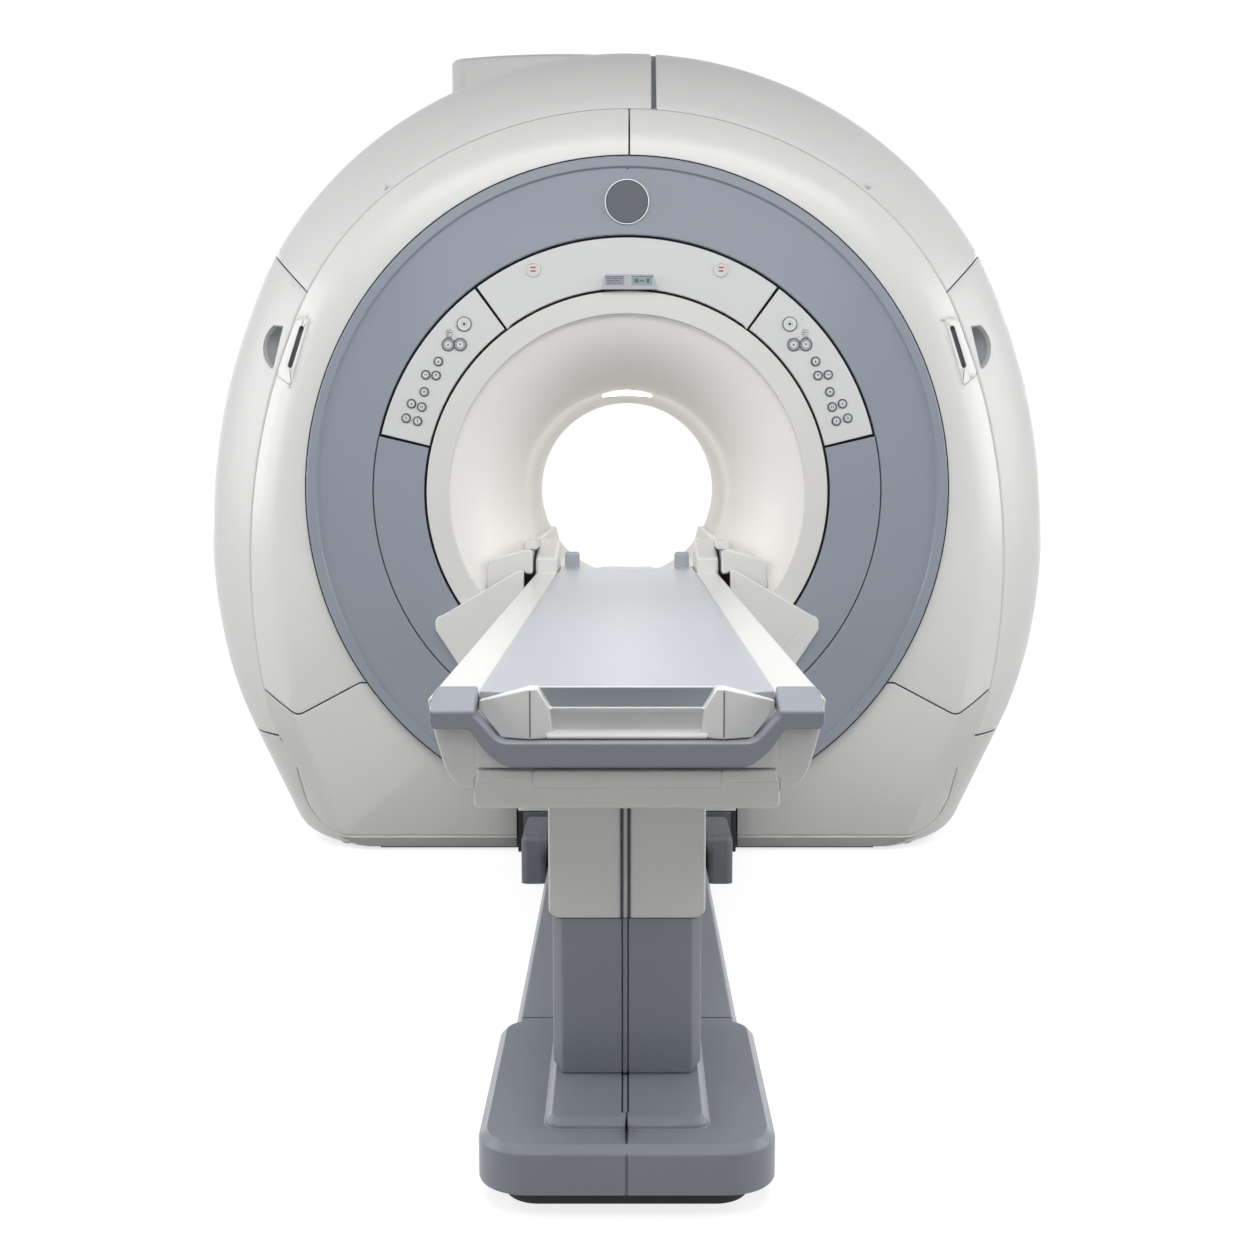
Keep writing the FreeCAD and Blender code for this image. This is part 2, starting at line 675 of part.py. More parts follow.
def oval(name, shrink, y):
    """An elliptical plate along the bore, drawn in from the disc's edge."""
    made = doc.addObject("Part::Ellipse", name + "_edge")
    bind(made, MajorRadius=disc_half_height - shrink, MinorRadius=disc_half_width - shrink)
    made.Placement = FreeCAD.Placement(Vector(0, 0, 0), FreeCAD.Rotation(Vector(1, 0, 0),
        Vector(0, 0, 1), Vector(0, 1, 0), "ZXY"))
    bind(made, Placement__Base__y=y[0], Placement__Base__z=bore_height)
    solid = doc.addObject("Part::Extrusion", name)
    solid.Base = made
    solid.DirMode = "Custom"
    solid.Dir = Vector(0, 1, 0)
    solid.Solid = True
    bind(solid, LengthFwd=as_size(y[1]) - y[0])
    return solid


disc_plate = oval("disc_plate", 0, (plate_front, plate_back))
disc_rim = cut("disc_rim", oval("rim_outer", 0, (plate_front - lip_rise, plate_front)),
               oval("rim_inner", disc_lip, (plate_front - lip_rise - 1, plate_front + 1)))
emblem = disc("emblem", emblem_radius, (plate_front - 4, plate_front + 1), 0, bore_height + emblem_height)
rim_open = cut("rim_open", disc_rim, bay_tool("rim_bay", dock_half_width + 1, bay_floor))
keep(cut("front_disc", fuse("disc_body", disc_plate, rim_open, emblem),
         disc("panel_hole", panel_radius + disc_gap / 2, (ahead, Size(-600))),
         bay_tool("disc_foot", dock_half_width + 1, dock_height + 1)), "front_disc")

inner_edge = bezel_radius + panel_gap / 2
white_edge = panel_radius + disc_gap / 2 - panel_gap
gap_angle = panel_gap * (90 / math.pi) / 620


def panel(name, start, end, edge=white_edge):
    outer = sector(name + "_slice", edge, (plate_front, plate_back), start, end)
    return cut(name + "_blank", outer, disc(name + "_core", inner_edge, (ahead, Size(-600))))


inner_ring = panel("inner_ring", side_panel_angle + gap_angle, 360 - side_panel_angle - gap_angle,
                   panel_radius - disc_gap / 2)
keep(cut("inner_disc", inner_ring, bay_tool("inner_bay", bay_cut, bore_height,
                                            bay_floor - bay_wall - 1)), "inner_disc")

# Places of the keys on the left panel: the angle from straight up, and how far they stand out from the
# bezel's edge. The right panel mirrors them.
CALL_KEY = (43.79, 84.7)
ROCKER = ((50.12, 79.3), (48.13, 54.3))
LABEL_DISC = (47.8, 98.0)
SMALL_KEYS = ((54.87, 73.3), (59.33, 83.1), (58.15, 58.2), (63.23, 65.4),
              (67.21, 83.8), (66.97, 54.5), (70.97, 83.9), (70.73, 52.0))
STOP_KEY = (22.71, 104.0)


def spot(place, sign):
    """A key's place, as (across, up), on the left side or the right one."""
    angle = math.radians(place[0])
    reach_out = bezel_radius + place[1]
    return reach_out * (sign * math.sin(angle)), bore_height + reach_out * math.cos(angle)


def key_hole(name, radius, place):
    return disc(name, radius + button_clear, (ahead, Size(-600)), *place)


def key_form(name, radius, place):
    """A round push key: a chamfered rim round a shallow dish."""
    sketch = doc.addObject("Sketcher::SketchObject", name + "_profile")
    draw(sketch, [(0, key_dish), (radius * 0.5, key_dish), (radius * 0.6, 0), (radius - key_edge, 0),
                  (radius, key_edge), (radius, button_depth), (0, button_depth)])
    made = doc.addObject("Part::Revolution", name)
    made.Source = sketch
    made.Axis = Vector(0, 1, 0)
    made.Angle = 360
    made.Solid = True
    return at(made, place[0], plate_front - button_proud, place[1])


def key(label, radius, place):
    return keep(key_form(label, radius, place), label)


def side_of(name, sign):
    """One side panel with its keys, rocker and label disc."""
    places = [spot(place, sign) for place in SMALL_KEYS]
    call_place = spot(CALL_KEY, sign)
    lobes = [spot(place, sign) for place in ROCKER]
    low, high = top_panel_angle + gap_angle, side_panel_angle - gap_angle
    blank = panel(name, low, high) if sign > 0 else panel(name, -high, -low)
    holes = [key_hole(f"{name}_hole{index}", button_radius, place) for index, place in enumerate(places)]
    holes.append(key_hole(name + "_call_hole", call_radius, call_place))
    rocker_radius = button_radius + 5.2
    holes += [key_hole(f"{name}_lobe{index}", rocker_radius + 0.2, lobe) for index,
              lobe in enumerate(lobes)]
    label_disc = disc(name + "_label", button_radius - 2, (plate_front - 1.5, plate_front + 1),
                      *spot(LABEL_DISC, sign))
    keep(cut(name, fuse(name + "_labelled", blank, label_disc), *holes), name)
    side = name.split("_")[0]
    for index, place in enumerate(places):
        key(f"{side}_key_{index + 1}", button_radius, place)
    key(f"{side}_call_key", call_radius, call_place)
    both = [key_form(f"{side}_rocker_lobe{index}", rocker_radius, lobe) for index,
            lobe in enumerate(lobes)]
    keep(fuse(f"{side}_rocker_key", *both), f"{side}_rocker_key")


side_of("left_button_panel", -1)
side_of("right_button_panel", 1)

stop_places = (spot(STOP_KEY, -1), spot(STOP_KEY, 1))
stop_holes = [key_hole(f"stop_hole{index}", stop_radius, place) for index, place in enumerate(stop_places)]
keep(cut("top_control_panel", panel("top_control_panel", -top_panel_angle + gap_angle,
                                    top_panel_angle - gap_angle),
         *stop_holes), "top_control_panel")
key("left_stop_key", stop_radius, stop_places[0])
key("right_stop_key", stop_radius, stop_places[1])
display_front = plate_front - seat - 16
display_low = bore_height + bezel_radius - 2
display_body = prism("display_body", "XZ", [
    (-70, display_low), (-60, display_low + 40), (72, display_low + 40), (82, display_low)],
    display_front, plate_front - seat)
windows = [box(f"window_{index}", (Size(low), Size(high)), (display_front - 1, display_front + 3),
               (display_low + 11, display_low + 35))
           for index, (low, high) in enumerate(((-58, -8), (12, 69)))]
keep(cut("status_display", display_body, *windows), "status_display")

# ---- The dock in the gantry ----------------------------------------------------------------------
wing_back = plate_front - seat
wing_front = wing_back - wing_thick
bay_inner = bay_half_width - bay_wall


def wing(sign):
    corners = [(-bay_inner, 300), (-bay_inner, 792), (-300, 792), (-510, 668), (-529, 652, 22),
               (-529, 628), (-466, 530),
               (-300, 262)]
    return prism(f"wing_{sign + 1}", "XZ", flip(corners, sign), wing_front, wing_back)


bay_block = box("bay_block", (-bay_half_width, bay_half_width), (wing_front, tube_front - seat),
                (bay_floor - bay_wall, Size(740)))
bay_space = box("bay_space", (-bay_inner, bay_inner), (wing_front - 1, tube_front - bay_wall),
                (bay_floor, Size(750)))
bay_tray = cut("bay_tray", bay_block, bay_space)
apron = box("apron", (-dock_half_width, dock_half_width), (wing_front + 4, wing_back),
            (dock_height + 1, bay_floor - bay_wall + 1))
keep(fuse("dock_surround", bay_tray, wing(-1), wing(1), apron), "dock_surround")
dock_face = wing_front + 6
dock_box = box("dock_box", (-dock_half_width, dock_half_width), (dock_face, plate_front_edge - seat),
               (Size(0), dock_height))
keep(rounded("dock_block", dock_box, 6, lambda edge: along("x")(edge) and edge.BoundBox.YMax < -730),
     "dock_block")

rail_fit = Size(0.7)
flare_space = turned("flare_space", [
    (0, tube_front - seat), (bore_radius - rail_fit, tube_front - seat),
    (flare_radius - rail_fit, flare_lip, flare_arc), (0, flare_lip)])
ledge_space = disc("ledge_space", bore_radius - seat, (tube_front - 12, tube_back))


arm_out = 97 - flare_radius


def bore_rail(sign):
    """A bore rail: the arm that stands in the flare and the ledge that runs on along the tube."""
    side = "left" if sign < 0 else "right"
    arm = prism(side + "_arm", "XZ", flip([
        (28 - bay_half_width, 788, 8), (28 - bay_half_width, 836), (-274, 848, 12), (-283, 847),
        (arm_out + 16, 822), (arm_out + 8, 812, 12), (arm_out, 738), (-354, 750), (-299, 784), (-283, 786),
        (-279, 781), (-268, 780)], sign), flare_lip + 4, tube_front)
    ledge = prism(side + "_ledge", "XZ", flip([(-232, 800), (-250, 870), (-300, 870), (-300, 800)], sign),
                  tube_front - 12, tube_back)
    neck = prism(side + "_neck", "XZ", flip([(-257, 800), (-257, 853), (-300, 853), (-300, 800)], sign),
                 tube_front - 110, tube_front)
    keep(fuse(side + "_bore_rail", common(side + "_arm_fit", arm, flare_space),
              common(side + "_neck_fit", neck, flare_space), common(side + "_ledge_fit", ledge, ledge_space)),
         side + "_bore_rail")


bore_rail(-1)
bore_rail(1)
cradle_bottom = cradle_top - cradle_depth
keep(common("bore_bridge", ledge_space, box("bridge_bar", (Size(-88), Size(88)), (tube_front + 4,
    Size(180)),
                                            (Size(650), cradle_bottom - cradle_clear))), "bore_bridge")

# ---- The table -----------------------------------------------------------------------------------
rail_inner = cradle_half_width + 4
frame_side = [
    (-rail_half_width + 40, frame_bottom), (-rail_half_width + 27, rail_top - 106),
    (-rail_half_width + 19, rail_top - 88), (-rail_half_width + 9, rail_top - 52),
    (-rail_half_width + 3, rail_top - 24), (-rail_half_width, rail_top - 6),
    (-rail_half_width + 6, rail_top, -6), (-rail_inner, rail_top), (-rail_inner, frame_floor)]
trough = prism("trough", "XZ", frame_side + flip(back_along(frame_side), 1), table_foot, table_head)


def guard(sign):
    """The rail's raised end at the gantry: a stout rounded block that rises towards the bore."""
    back = prism(f"guard_{sign + 1}", "YZ", [
        (table_head - guard_length, rail_top - 2), (table_head, rail_top - 2),
        (table_head, rail_top + guard_height), (table_head - 30, rail_top + guard_height - 1),
        (table_head - guard_length, rail_top + guard_step)],
        rail_inner if sign > 0 else -rail_half_width + 1, rail_half_width - 1 if sign > 0 else -rail_inner)
    return rounded(f"guard_soft_{sign + 1}", back, 9,
                   lambda edge: edge.BoundBox.ZMax > number(rail_top) + 20)


# The pan under the frame, two runners for the cradle, and two lugs with a slot between them at the foot.
pan = box("pan", (-pan_half_width, pan_half_width), (table_foot - 4, Size(-820)),
          (pan_bottom, frame_bottom + 14))
runners = [box(f"runner_{index}", (Size(low), Size(low + 24)), (table_foot, table_head),
               (frame_floor - 1, cradle_top - cradle_depth - seat)) for index, low in enumerate((-86, 62))]
lugs = [rounded(f"lug_soft_{sign + 1}", box(f"lug_{sign + 1}", (
    Size(120 if sign > 0 else -192), Size(192 if sign > 0 else -120)), (table_foot - 14, table_foot + 5),
    (frame_bottom + 10, frame_bottom + 25)), 3, lambda edge: edge.BoundBox.YMax < number(table_foot) - 13)
    for sign in (-1, 1)]
foot_slot = box("foot_slot", (Size(-118), Size(118)), (table_foot - 20, table_foot + 10),
                (frame_bottom + 15, frame_bottom + 22))
keep(cut("table_frame", fuse("frame_body", trough, *runners, *lugs, guard(-1), guard(1), rounded(
    "pan_round", pan, 8, lambda edge: edge.BoundBox.ZMax < number(pan_bottom) + 1)), foot_slot),
     "table_frame")

# The foot end: a block on each rail joined by a band that dips under the cap.
block_out = rail_half_width - 8
block_in = rail_inner - 4
block_top = rail_top + 14
bumper_side = [
    (-154, rail_top - 82), (-178, rail_top - 63), (-198, rail_top - 34), (-block_out + 8, rail_top - 34),
    (-block_out, rail_top - 24, -10), (-block_out, block_top - 12), (-block_out + 12, block_top, -12),
    (-block_in, block_top), (-block_in, rail_top - 17), (-160, rail_top - 50)]
bumper_blank = prism("bumper_blank", "XZ", bumper_side + flip(back_along(bumper_side), 1),
                     table_foot - 52, table_foot - seat)
bumper_slope = prism("bumper_slope", "YZ", [
    (table_foot - 80, rail_top - 12), (table_foot - 53, rail_top - 12), (table_foot - 32, block_top + 2),
    (table_foot - 80, block_top + 2)], -aside, aside)
keep(cut("end_bumper", bumper_blank, bumper_slope), "end_bumper")

# The cap between the blocks: a wedge at each side of a grip with a stepped lip.
cap_out = block_in - 1.5
cap_low = rail_top - 49
wedge_side = [
    (-159, cap_low), (-cap_out, rail_top - 15), (-cap_out, rail_top - 3), (-124, rail_top + 15),
    (-113, rail_top + 15), (-97, rail_top - 12), (-94, rail_top - 43), (-101, cap_low)]
wedge_plan = [
    (-cap_out - 1, table_foot - seat), (-cap_out - 1, table_foot - 12), (-122, table_foot - 38),
    (-99, table_foot - 30), (-90, table_foot - 22), (-90, table_foot - seat)]
wedges = [common(f"wedge_{sign + 1}", prism(f"wedge_front_{sign + 1}", "XZ", flip(wedge_side, sign),
                                            table_foot - 60, table_foot),
                 prism(f"wedge_plan_{sign + 1}", "XY", flip(wedge_plan, sign), Size(600), Size(900)))
          for sign in (-1, 1)]
cap_wall = prism("cap_wall", "XZ", [
    (-115, cap_low), (115, cap_low), (115, rail_top + 14), (-115, rail_top + 14)],
    table_foot - 8, table_foot - seat)
cap_floor = prism("cap_floor", "YZ", [
    (table_foot - 7, cap_low), (table_foot - 34, cap_low), (table_foot - 34, cap_low + 5),
    (table_foot - 16, cap_low + 9), (table_foot - 16, rail_top - 17), (table_foot - 25, rail_top - 12),
    (table_foot - 23, rail_top - 9), (table_foot - 7, rail_top - 16)], Size(-102), Size(102))
keep(fuse("foot_end_cap", *wedges, cap_wall, cap_floor), "foot_end_cap")

cradle_head = table_head + 14
cradle_tail = cradle_head - cradle_length
edge_in = cradle_half_width - 12
cradle_outline = [
    (-cradle_half_width, cradle_top), (-cradle_half_width, cradle_top - cradle_edge), (-150,
        cradle_bottom + 8),
    (-100, cradle_bottom, 160), (100, cradle_bottom), (150, cradle_bottom + 8, 160),
    (cradle_half_width, cradle_top - cradle_edge), (cradle_half_width, cradle_top), (edge_in, cradle_top),
    (-edge_in, cradle_top, -1800)]
board = prism("board", "XZ", cradle_outline, cradle_tail, cradle_head)


def post(sign):
    low, high = (-181, -139) if sign < 0 else (139, 181)
    block = box(f"post_{sign + 1}", (Size(low), Size(high)), (cradle_head - 34, cradle_head),
                (cradle_top - 14, cradle_top + post_height))
    return rounded(f"post_soft_{sign + 1}", block, 9, lambda edge: edge.BoundBox.ZMin > number(cradle_top))


keep(fuse("cradle", board, post(-1), post(1)), "cradle")

sleeve_back = sleeve_front + sleeve_depth
sleeve_outer = prism("sleeve_outer", "XZ", [
    (-sleeve_half_width, sleeve_bottom + 11), (-sleeve_half_width + 6,
                                               sleeve_bottom + 6), (-sleeve_half_width + 12,
                                                   sleeve_bottom),
    (sleeve_half_width - 12, sleeve_bottom), (sleeve_half_width - 6,
                                              sleeve_bottom + 6), (sleeve_half_width, sleeve_bottom + 11),
    (sleeve_half_width, pan_bottom - 0.2), (-sleeve_half_width,
                                            pan_bottom - 0.2)], sleeve_front, sleeve_back)
sleeve_hole = box("sleeve_hole", (-sleeve_half_width + sleeve_wall, sleeve_half_width - sleeve_wall),
                  (sleeve_front + sleeve_wall, sleeve_back - sleeve_wall), (Size(300), pan_bottom - 12))
sleeve_lines = [box(f"sleeve_line{index}", (Size(low), Size(low + 2)), (sleeve_front - 1,
    sleeve_front + 1.5),
                    (Size(300), Size(700))) for index, low in enumerate((-9, 2))]
keep(cut("upper_sleeve", sleeve_outer, sleeve_hole, *sleeve_lines), "upper_sleeve")
column_half = sleeve_half_width - sleeve_wall - column_clear
column_front = sleeve_front + sleeve_wall + column_clear
column_back = sleeve_back - sleeve_wall - column_clear
column_foot = base_top + 14
column_blank = prism("column_blank", "XZ", [
    (-column_half + 15, column_foot), (column_half - 15, column_foot), (column_half, column_foot + 16),
    (column_half, column_top), (-column_half, column_top), (-column_half, column_foot + 16)],
    column_front, column_back)
column_soft = rounded("column_soft", column_blank, 15, lambda edge: along("z", 100)(edge)
                      and edge.BoundBox.YMax < number(column_front) + 1, "Part::Chamfer")
line_left = Size(-8)
line_right = Size(2.5)
column_line = box("column_line", (line_left, line_right), (column_front - 1, column_front + 8),
                  (Size(0), Size(700)))
keep(cut("lower_column", column_soft, column_line), "lower_column")


def footing(name, drawn_in, z):
    """The base's plan: a slab with big rounded corners in front and smaller ones behind."""
    out = base_half_width - drawn_in
    turn = base_round - drawn_in
    back_turn = turn - 26
    front, back = base_front + drawn_in, base_back - drawn_in
    side = [(-out + back_turn, back), (-out, back - back_turn, back_turn), (-out, front + turn),
            (-out + turn, front, turn)]
    return prism(name, "XY", side + flip(back_along(side), 1), z[0], z[1])


base_blank = footing("base", Size(0), (base_bottom, base_top))
base_soft = rounded("base_soft", base_blank, 12, lambda edge: edge.BoundBox.ZMin > number(base_top) - 1,
                    "Part::Chamfer")
collar_side = [(-130, column_back + 22), (-127, base_front + 86), (-102, base_front + 60, 26)]
collar = prism("collar", "XY", collar_side + flip(back_along(collar_side), 1), base_top - 2,
               column_foot - seat)
collar_soft = rounded("collar_soft", collar, 11, lambda edge: edge.BoundBox.ZMin
                      > number(column_foot) - 2 and edge.BoundBox.YMax < number(column_back) + 21,
                      "Part::Chamfer")
collar_slot = box("collar_slot", (line_left, line_right), (base_front + 85, column_front), (
    base_top + 3, above))
base_seam = box("base_seam", (Size(-1.5), Size(0.5)), (base_front - 5, base_front + 90), (
    base_bottom - 1, above))
seam_core = box("seam_core", (Size(-20), Size(20)), (base_front + 2, base_front + 95), (
    base_bottom - 5, base_top - 2))
keep(cut("base_cover", fuse("base_body", base_soft, collar_soft), collar_slot,
         cut("seam_line", base_seam, seam_core)), "base_cover")
keep(footing("base_plinth", Size(18), (Size(0), base_bottom - seat)), "base_plinth")

arm_blank = prism("arm_blank", "XZ", [
    (-arm_half_width - 20, arm_bottom), (arm_half_width + 20, arm_bottom), (arm_half_width, arm_top),
    (-arm_half_width, arm_top)], base_back + seat, arm_end)
arm_window = box("arm_window", (Size(-130), Size(130)), (base_back + 260, arm_end - 260),
                 (Size(0), Size(200)))
keep(cut("dock_arm", arm_blank, arm_window), "dock_arm")
foot_inner = arm_half_width + 20 + seat
foot_back = arm_end + 30


def dock_shoe(sign):
    shoe = box(f"shoe_{sign + 1}", (foot_inner, foot_inner + dock_foot_width) if sign > 0 else
               (-foot_inner - dock_foot_width, -foot_inner), (foot_back - dock_foot_length,
                   foot_back), (Size(0), dock_foot_height))
    return rounded(f"shoe_soft_{sign + 1}", shoe, 18,
                   lambda edge: edge.BoundBox.ZMin > number(dock_foot_height) - 1
                   or along("z")(edge) and edge.BoundBox.YMax < number(foot_back) - 1)


cross_bar = box("cross_bar", (-foot_inner - 5, foot_inner + 5), (foot_back - 360, foot_back - 200),
                (Size(0), arm_bottom - seat))
nose_yoke = box("nose_yoke", (-foot_inner - 5, foot_inner + 5), (arm_end + seat, foot_back),
                (Size(0), Size(80)))
nose = box("nose", (Size(-150), Size(150)), (arm_end + seat, dock_face - seat), (Size(20), Size(80)))
keep(fuse("dock_foot", dock_shoe(-1), dock_shoe(1), cross_bar, nose_yoke, nose), "dock_foot")

# ---- Checks and files ----------------------------------------------------------------------------
doc.recompute()
for thing in doc.Objects:
    if "Invalid" in thing.State or "Error" in thing.State:
        raise RuntimeError(f"{thing.Name} didn't build: {thing.State}")
for thing in nodes:
    if thing.Shape.isNull() or not thing.Shape.isValid():
        raise RuntimeError(f"{thing.Label} has no valid shape")
if len({thing.Label for thing in nodes}) != len(nodes):
    raise RuntimeError("two sub-parts share a label")
os.makedirs("parts", exist_ok=True)
for thing in nodes:
    thing.Shape.exportStep(f"parts/{thing.Label}.step")
    limits = thing.Shape.BoundBox
    print(f"{thing.Label:22s} solids {len(thing.Shape.Solids)}  litres {thing.Shape.Volume / 1e6:9.3f}"
          f"  x {limits.XMin:8.1f} {limits.XMax:8.1f}  y {limits.YMin:8.1f} {limits.YMax:8.1f}"
          f"  z {limits.ZMin:7.1f} {limits.ZMax:7.1f}")
print(len(nodes), "sub-parts")
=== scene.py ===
import bpy
import json
import math
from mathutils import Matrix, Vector

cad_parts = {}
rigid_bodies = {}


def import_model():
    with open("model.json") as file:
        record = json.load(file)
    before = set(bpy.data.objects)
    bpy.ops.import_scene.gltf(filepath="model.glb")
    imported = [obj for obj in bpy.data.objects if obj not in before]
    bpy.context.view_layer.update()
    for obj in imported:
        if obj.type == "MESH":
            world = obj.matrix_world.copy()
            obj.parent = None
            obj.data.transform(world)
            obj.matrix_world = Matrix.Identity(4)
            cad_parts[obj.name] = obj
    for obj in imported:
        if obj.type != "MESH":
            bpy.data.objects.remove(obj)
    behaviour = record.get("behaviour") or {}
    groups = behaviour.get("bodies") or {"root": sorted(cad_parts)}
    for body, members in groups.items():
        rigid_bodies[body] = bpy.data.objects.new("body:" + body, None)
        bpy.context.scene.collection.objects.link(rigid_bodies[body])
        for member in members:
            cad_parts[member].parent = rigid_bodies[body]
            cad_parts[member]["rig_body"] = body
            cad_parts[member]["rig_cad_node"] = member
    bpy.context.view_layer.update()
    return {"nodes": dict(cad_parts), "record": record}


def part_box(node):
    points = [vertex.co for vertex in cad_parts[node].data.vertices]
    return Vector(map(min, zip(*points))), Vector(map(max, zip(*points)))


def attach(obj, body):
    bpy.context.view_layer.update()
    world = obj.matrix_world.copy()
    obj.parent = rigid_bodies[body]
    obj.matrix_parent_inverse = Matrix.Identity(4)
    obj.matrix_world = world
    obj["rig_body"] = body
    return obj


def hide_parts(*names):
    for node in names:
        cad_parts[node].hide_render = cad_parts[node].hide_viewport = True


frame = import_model()
print("frame loaded:", len(frame["nodes"]), "nodes")

bodyOf = {node: body for body, nodes in frame["record"]["behaviour"]["bodies"].items() for node in nodes}
slotOf = {part["node"]: part["material_slot"] for part in frame["record"]["subparts"]}
boreHeight = 1.0  # the bore's axis above the floor, metres
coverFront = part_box("front_disc")[1].y  # the covers' flat front, which the disc lies on
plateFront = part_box("bezel_ring")[0].y  # the front face of the disc and the panels
# how far faces turn at an edge, in degrees: smooth shading below one, a rounded edge above the other
edgeTurn = {"smoothBelow": 35, "roundAbove": 32}
facing = 0.9  # a face looks along an axis if its normal has at least this much of it
inkThick = 0.0003  # a printed mark's thickness, metres


# small tools used by every piece

def pick(*objects):
    bpy.ops.object.select_all(action="DESELECT")
    for obj in objects:
        obj.select_set(True)
    bpy.context.view_layer.objects.active = objects[0]


def linearColour(hexText):
    channels = [int(hexText[i:i + 2], 16) / 255 for i in (1, 3, 5)]
    return [c / 12.92 if c <= 0.04045 else ((c + 0.055) / 1.055) ** 2.4 for c in channels] + [1.0]


def addNode(tree, kind, settings=None, links=None):
    node = tree.nodes.new(kind)
    for name, value in (settings or {}).items():
        if name in node.inputs.keys():
            node.inputs[name].default_value = value
        else:
            setattr(node, name, value)
    for name, (source, output) in (links or {}).items():
        tree.links.new(source.outputs[output], node.inputs[name])
    return node


def paint(obj, material):
    obj.data.materials.clear()
    obj.data.materials.append(material)
    return obj


def paintFaces(obj, material, wanted):
    # gives the faces that the test picks, by their centre and normal, a finish of their own
    obj.data.materials.append(material)
    slotIndex = len(obj.data.materials) - 1
    for face in obj.data.polygons:
        if wanted(face.center, face.normal):
            face.material_index = slotIndex


def clearPicks(obj, kind):
    # leaves the piece in object mode, with none of its faces or points selected
    pick(obj)
    bpy.ops.object.mode_set(mode="EDIT")
    bpy.ops.mesh.select_mode(type=kind)
    bpy.ops.mesh.select_all(action="DESELECT")
    bpy.ops.object.mode_set(mode="OBJECT")


def selectFaces(obj, wanted):
    # leaves the piece in edit mode, with the faces that the test picks selected
    clearPicks(obj, "FACE")
    for face in obj.data.polygons:
        face.select = wanted(face.center, face.normal)
    bpy.ops.object.mode_set(mode="EDIT")


def deleteFaces(obj, wanted):
    selectFaces(obj, wanted)
    bpy.ops.mesh.delete(type="FACE")
    bpy.ops.object.mode_set(mode="OBJECT")


def shiftPoints(obj, wanted, move=(0, 0, 0), grow=(1, 1, 1), about=(0, 0, 0)):
    # grows the points that the test picks about a place, and then moves them
    clearPicks(obj, "VERT")
    for vertex in obj.data.vertices:
        vertex.select = wanted(vertex.co)
    bpy.ops.object.mode_set(mode="EDIT")
    bpy.ops.transform.resize(value=grow, center_override=about)
    bpy.ops.transform.translate(value=move)
    bpy.ops.object.mode_set(mode="OBJECT")


def applyModifier(obj, kind, settings):
    pick(obj)
    modifier = obj.modifiers.new(kind.title(), kind)
    for name, value in settings.items():
        setattr(modifier, name, value)
    bpy.ops.object.modifier_apply(modifier=modifier.name)


def settle(obj):
    # puts the piece's place and turn into its mesh
    pick(obj)
    bpy.ops.object.transform_apply(location=True, rotation=True, scale=True)
    return obj


def finishPiece(obj, name, body, material=None):
    obj.name = name
    settle(obj)
    bpy.ops.object.shade_smooth_by_angle(angle=math.radians(edgeTurn["smoothBelow"]))
    if material:
        paint(obj, material)
    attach(obj, body)
    return obj


def joinInto(obj, *others):
    pick(obj, *others)
    bpy.ops.object.join()
    return obj


def frontRing(centre, y, outer, inner, thick, sides):
    # a flat ring that faces the table; outer and inner are its half width and half height
    bpy.ops.object.select_all(action="DESELECT")
    bpy.ops.mesh.primitive_circle_add(vertices=sides, radius=1.0, location=(0, 0, 0))
    ring = bpy.context.object
    bpy.ops.object.mode_set(mode="EDIT")
    bpy.ops.mesh.select_mode(type="EDGE")
    bpy.ops.mesh.select_all(action="SELECT")
    bpy.ops.transform.resize(value=(outer[0], outer[1], 1))
    bpy.ops.mesh.extrude_region_move()
    bpy.ops.transform.resize(value=(inner[0] / outer[0], inner[1] / outer[1], 1))
    bpy.ops.mesh.select_all(action="SELECT")
    bpy.ops.mesh.normals_make_consistent(inside=False)
    bpy.ops.object.mode_set(mode="OBJECT")
    if ring.data.polygons[0].normal.z > 0:
        pick(ring)
        bpy.ops.object.mode_set(mode="EDIT")
        bpy.ops.mesh.select_all(action="SELECT")
        bpy.ops.mesh.flip_normals()
        bpy.ops.object.mode_set(mode="OBJECT")
    applyModifier(ring, "SOLIDIFY", {"thickness": thick, "offset": -1.0})
    ring.rotation_euler = (math.radians(90), 0, 0)
    ring.location = (centre[0], y, centre[1])
    return settle(ring)


def frontMark(place, y, size, sides=4, turn=45, thick=inkThick):
    # a printed mark or a bar: a prism that faces the table, of the given width and height
    bpy.ops.object.select_all(action="DESELECT")
    bpy.ops.mesh.primitive_circle_add(vertices=sides, radius=1.0, fill_type="NGON", location=(0, 0, 0),
                                      rotation=(0, 0, math.radians(turn)))
    mark = settle(bpy.context.object)
    spans = [[vertex.co[axis] for vertex in mark.data.vertices] for axis in (0, 1)]
    growth = [want / (max(span) - min(span)) for want, span in zip(size, spans)]
    bpy.ops.object.mode_set(mode="EDIT")
    bpy.ops.mesh.select_all(action="SELECT")
    bpy.ops.transform.translate(value=[-(min(span) + max(span)) / 2 for span in spans] + [0])
    bpy.ops.transform.resize(value=growth + [1], center_override=(0, 0, 0))
    bpy.ops.mesh.extrude_region_move(TRANSFORM_OT_translate={"value": (0, 0, thick)})
    bpy.ops.mesh.select_all(action="SELECT")
    bpy.ops.mesh.normals_make_consistent(inside=False)
    bpy.ops.object.mode_set(mode="OBJECT")
    mark.rotation_euler = (math.radians(90), 0, 0)
    mark.location = (place[0], y, place[1])
    return settle(mark)


# finishes: each starts from what the real surface is

# where the noise of a finish turns from its shade to its full colour, and how far it sways the roughness
drifting = {"shadeAt": 0.3, "colourAt": 0.7, "glossLow": 0.9, "glossHigh": 1.1}


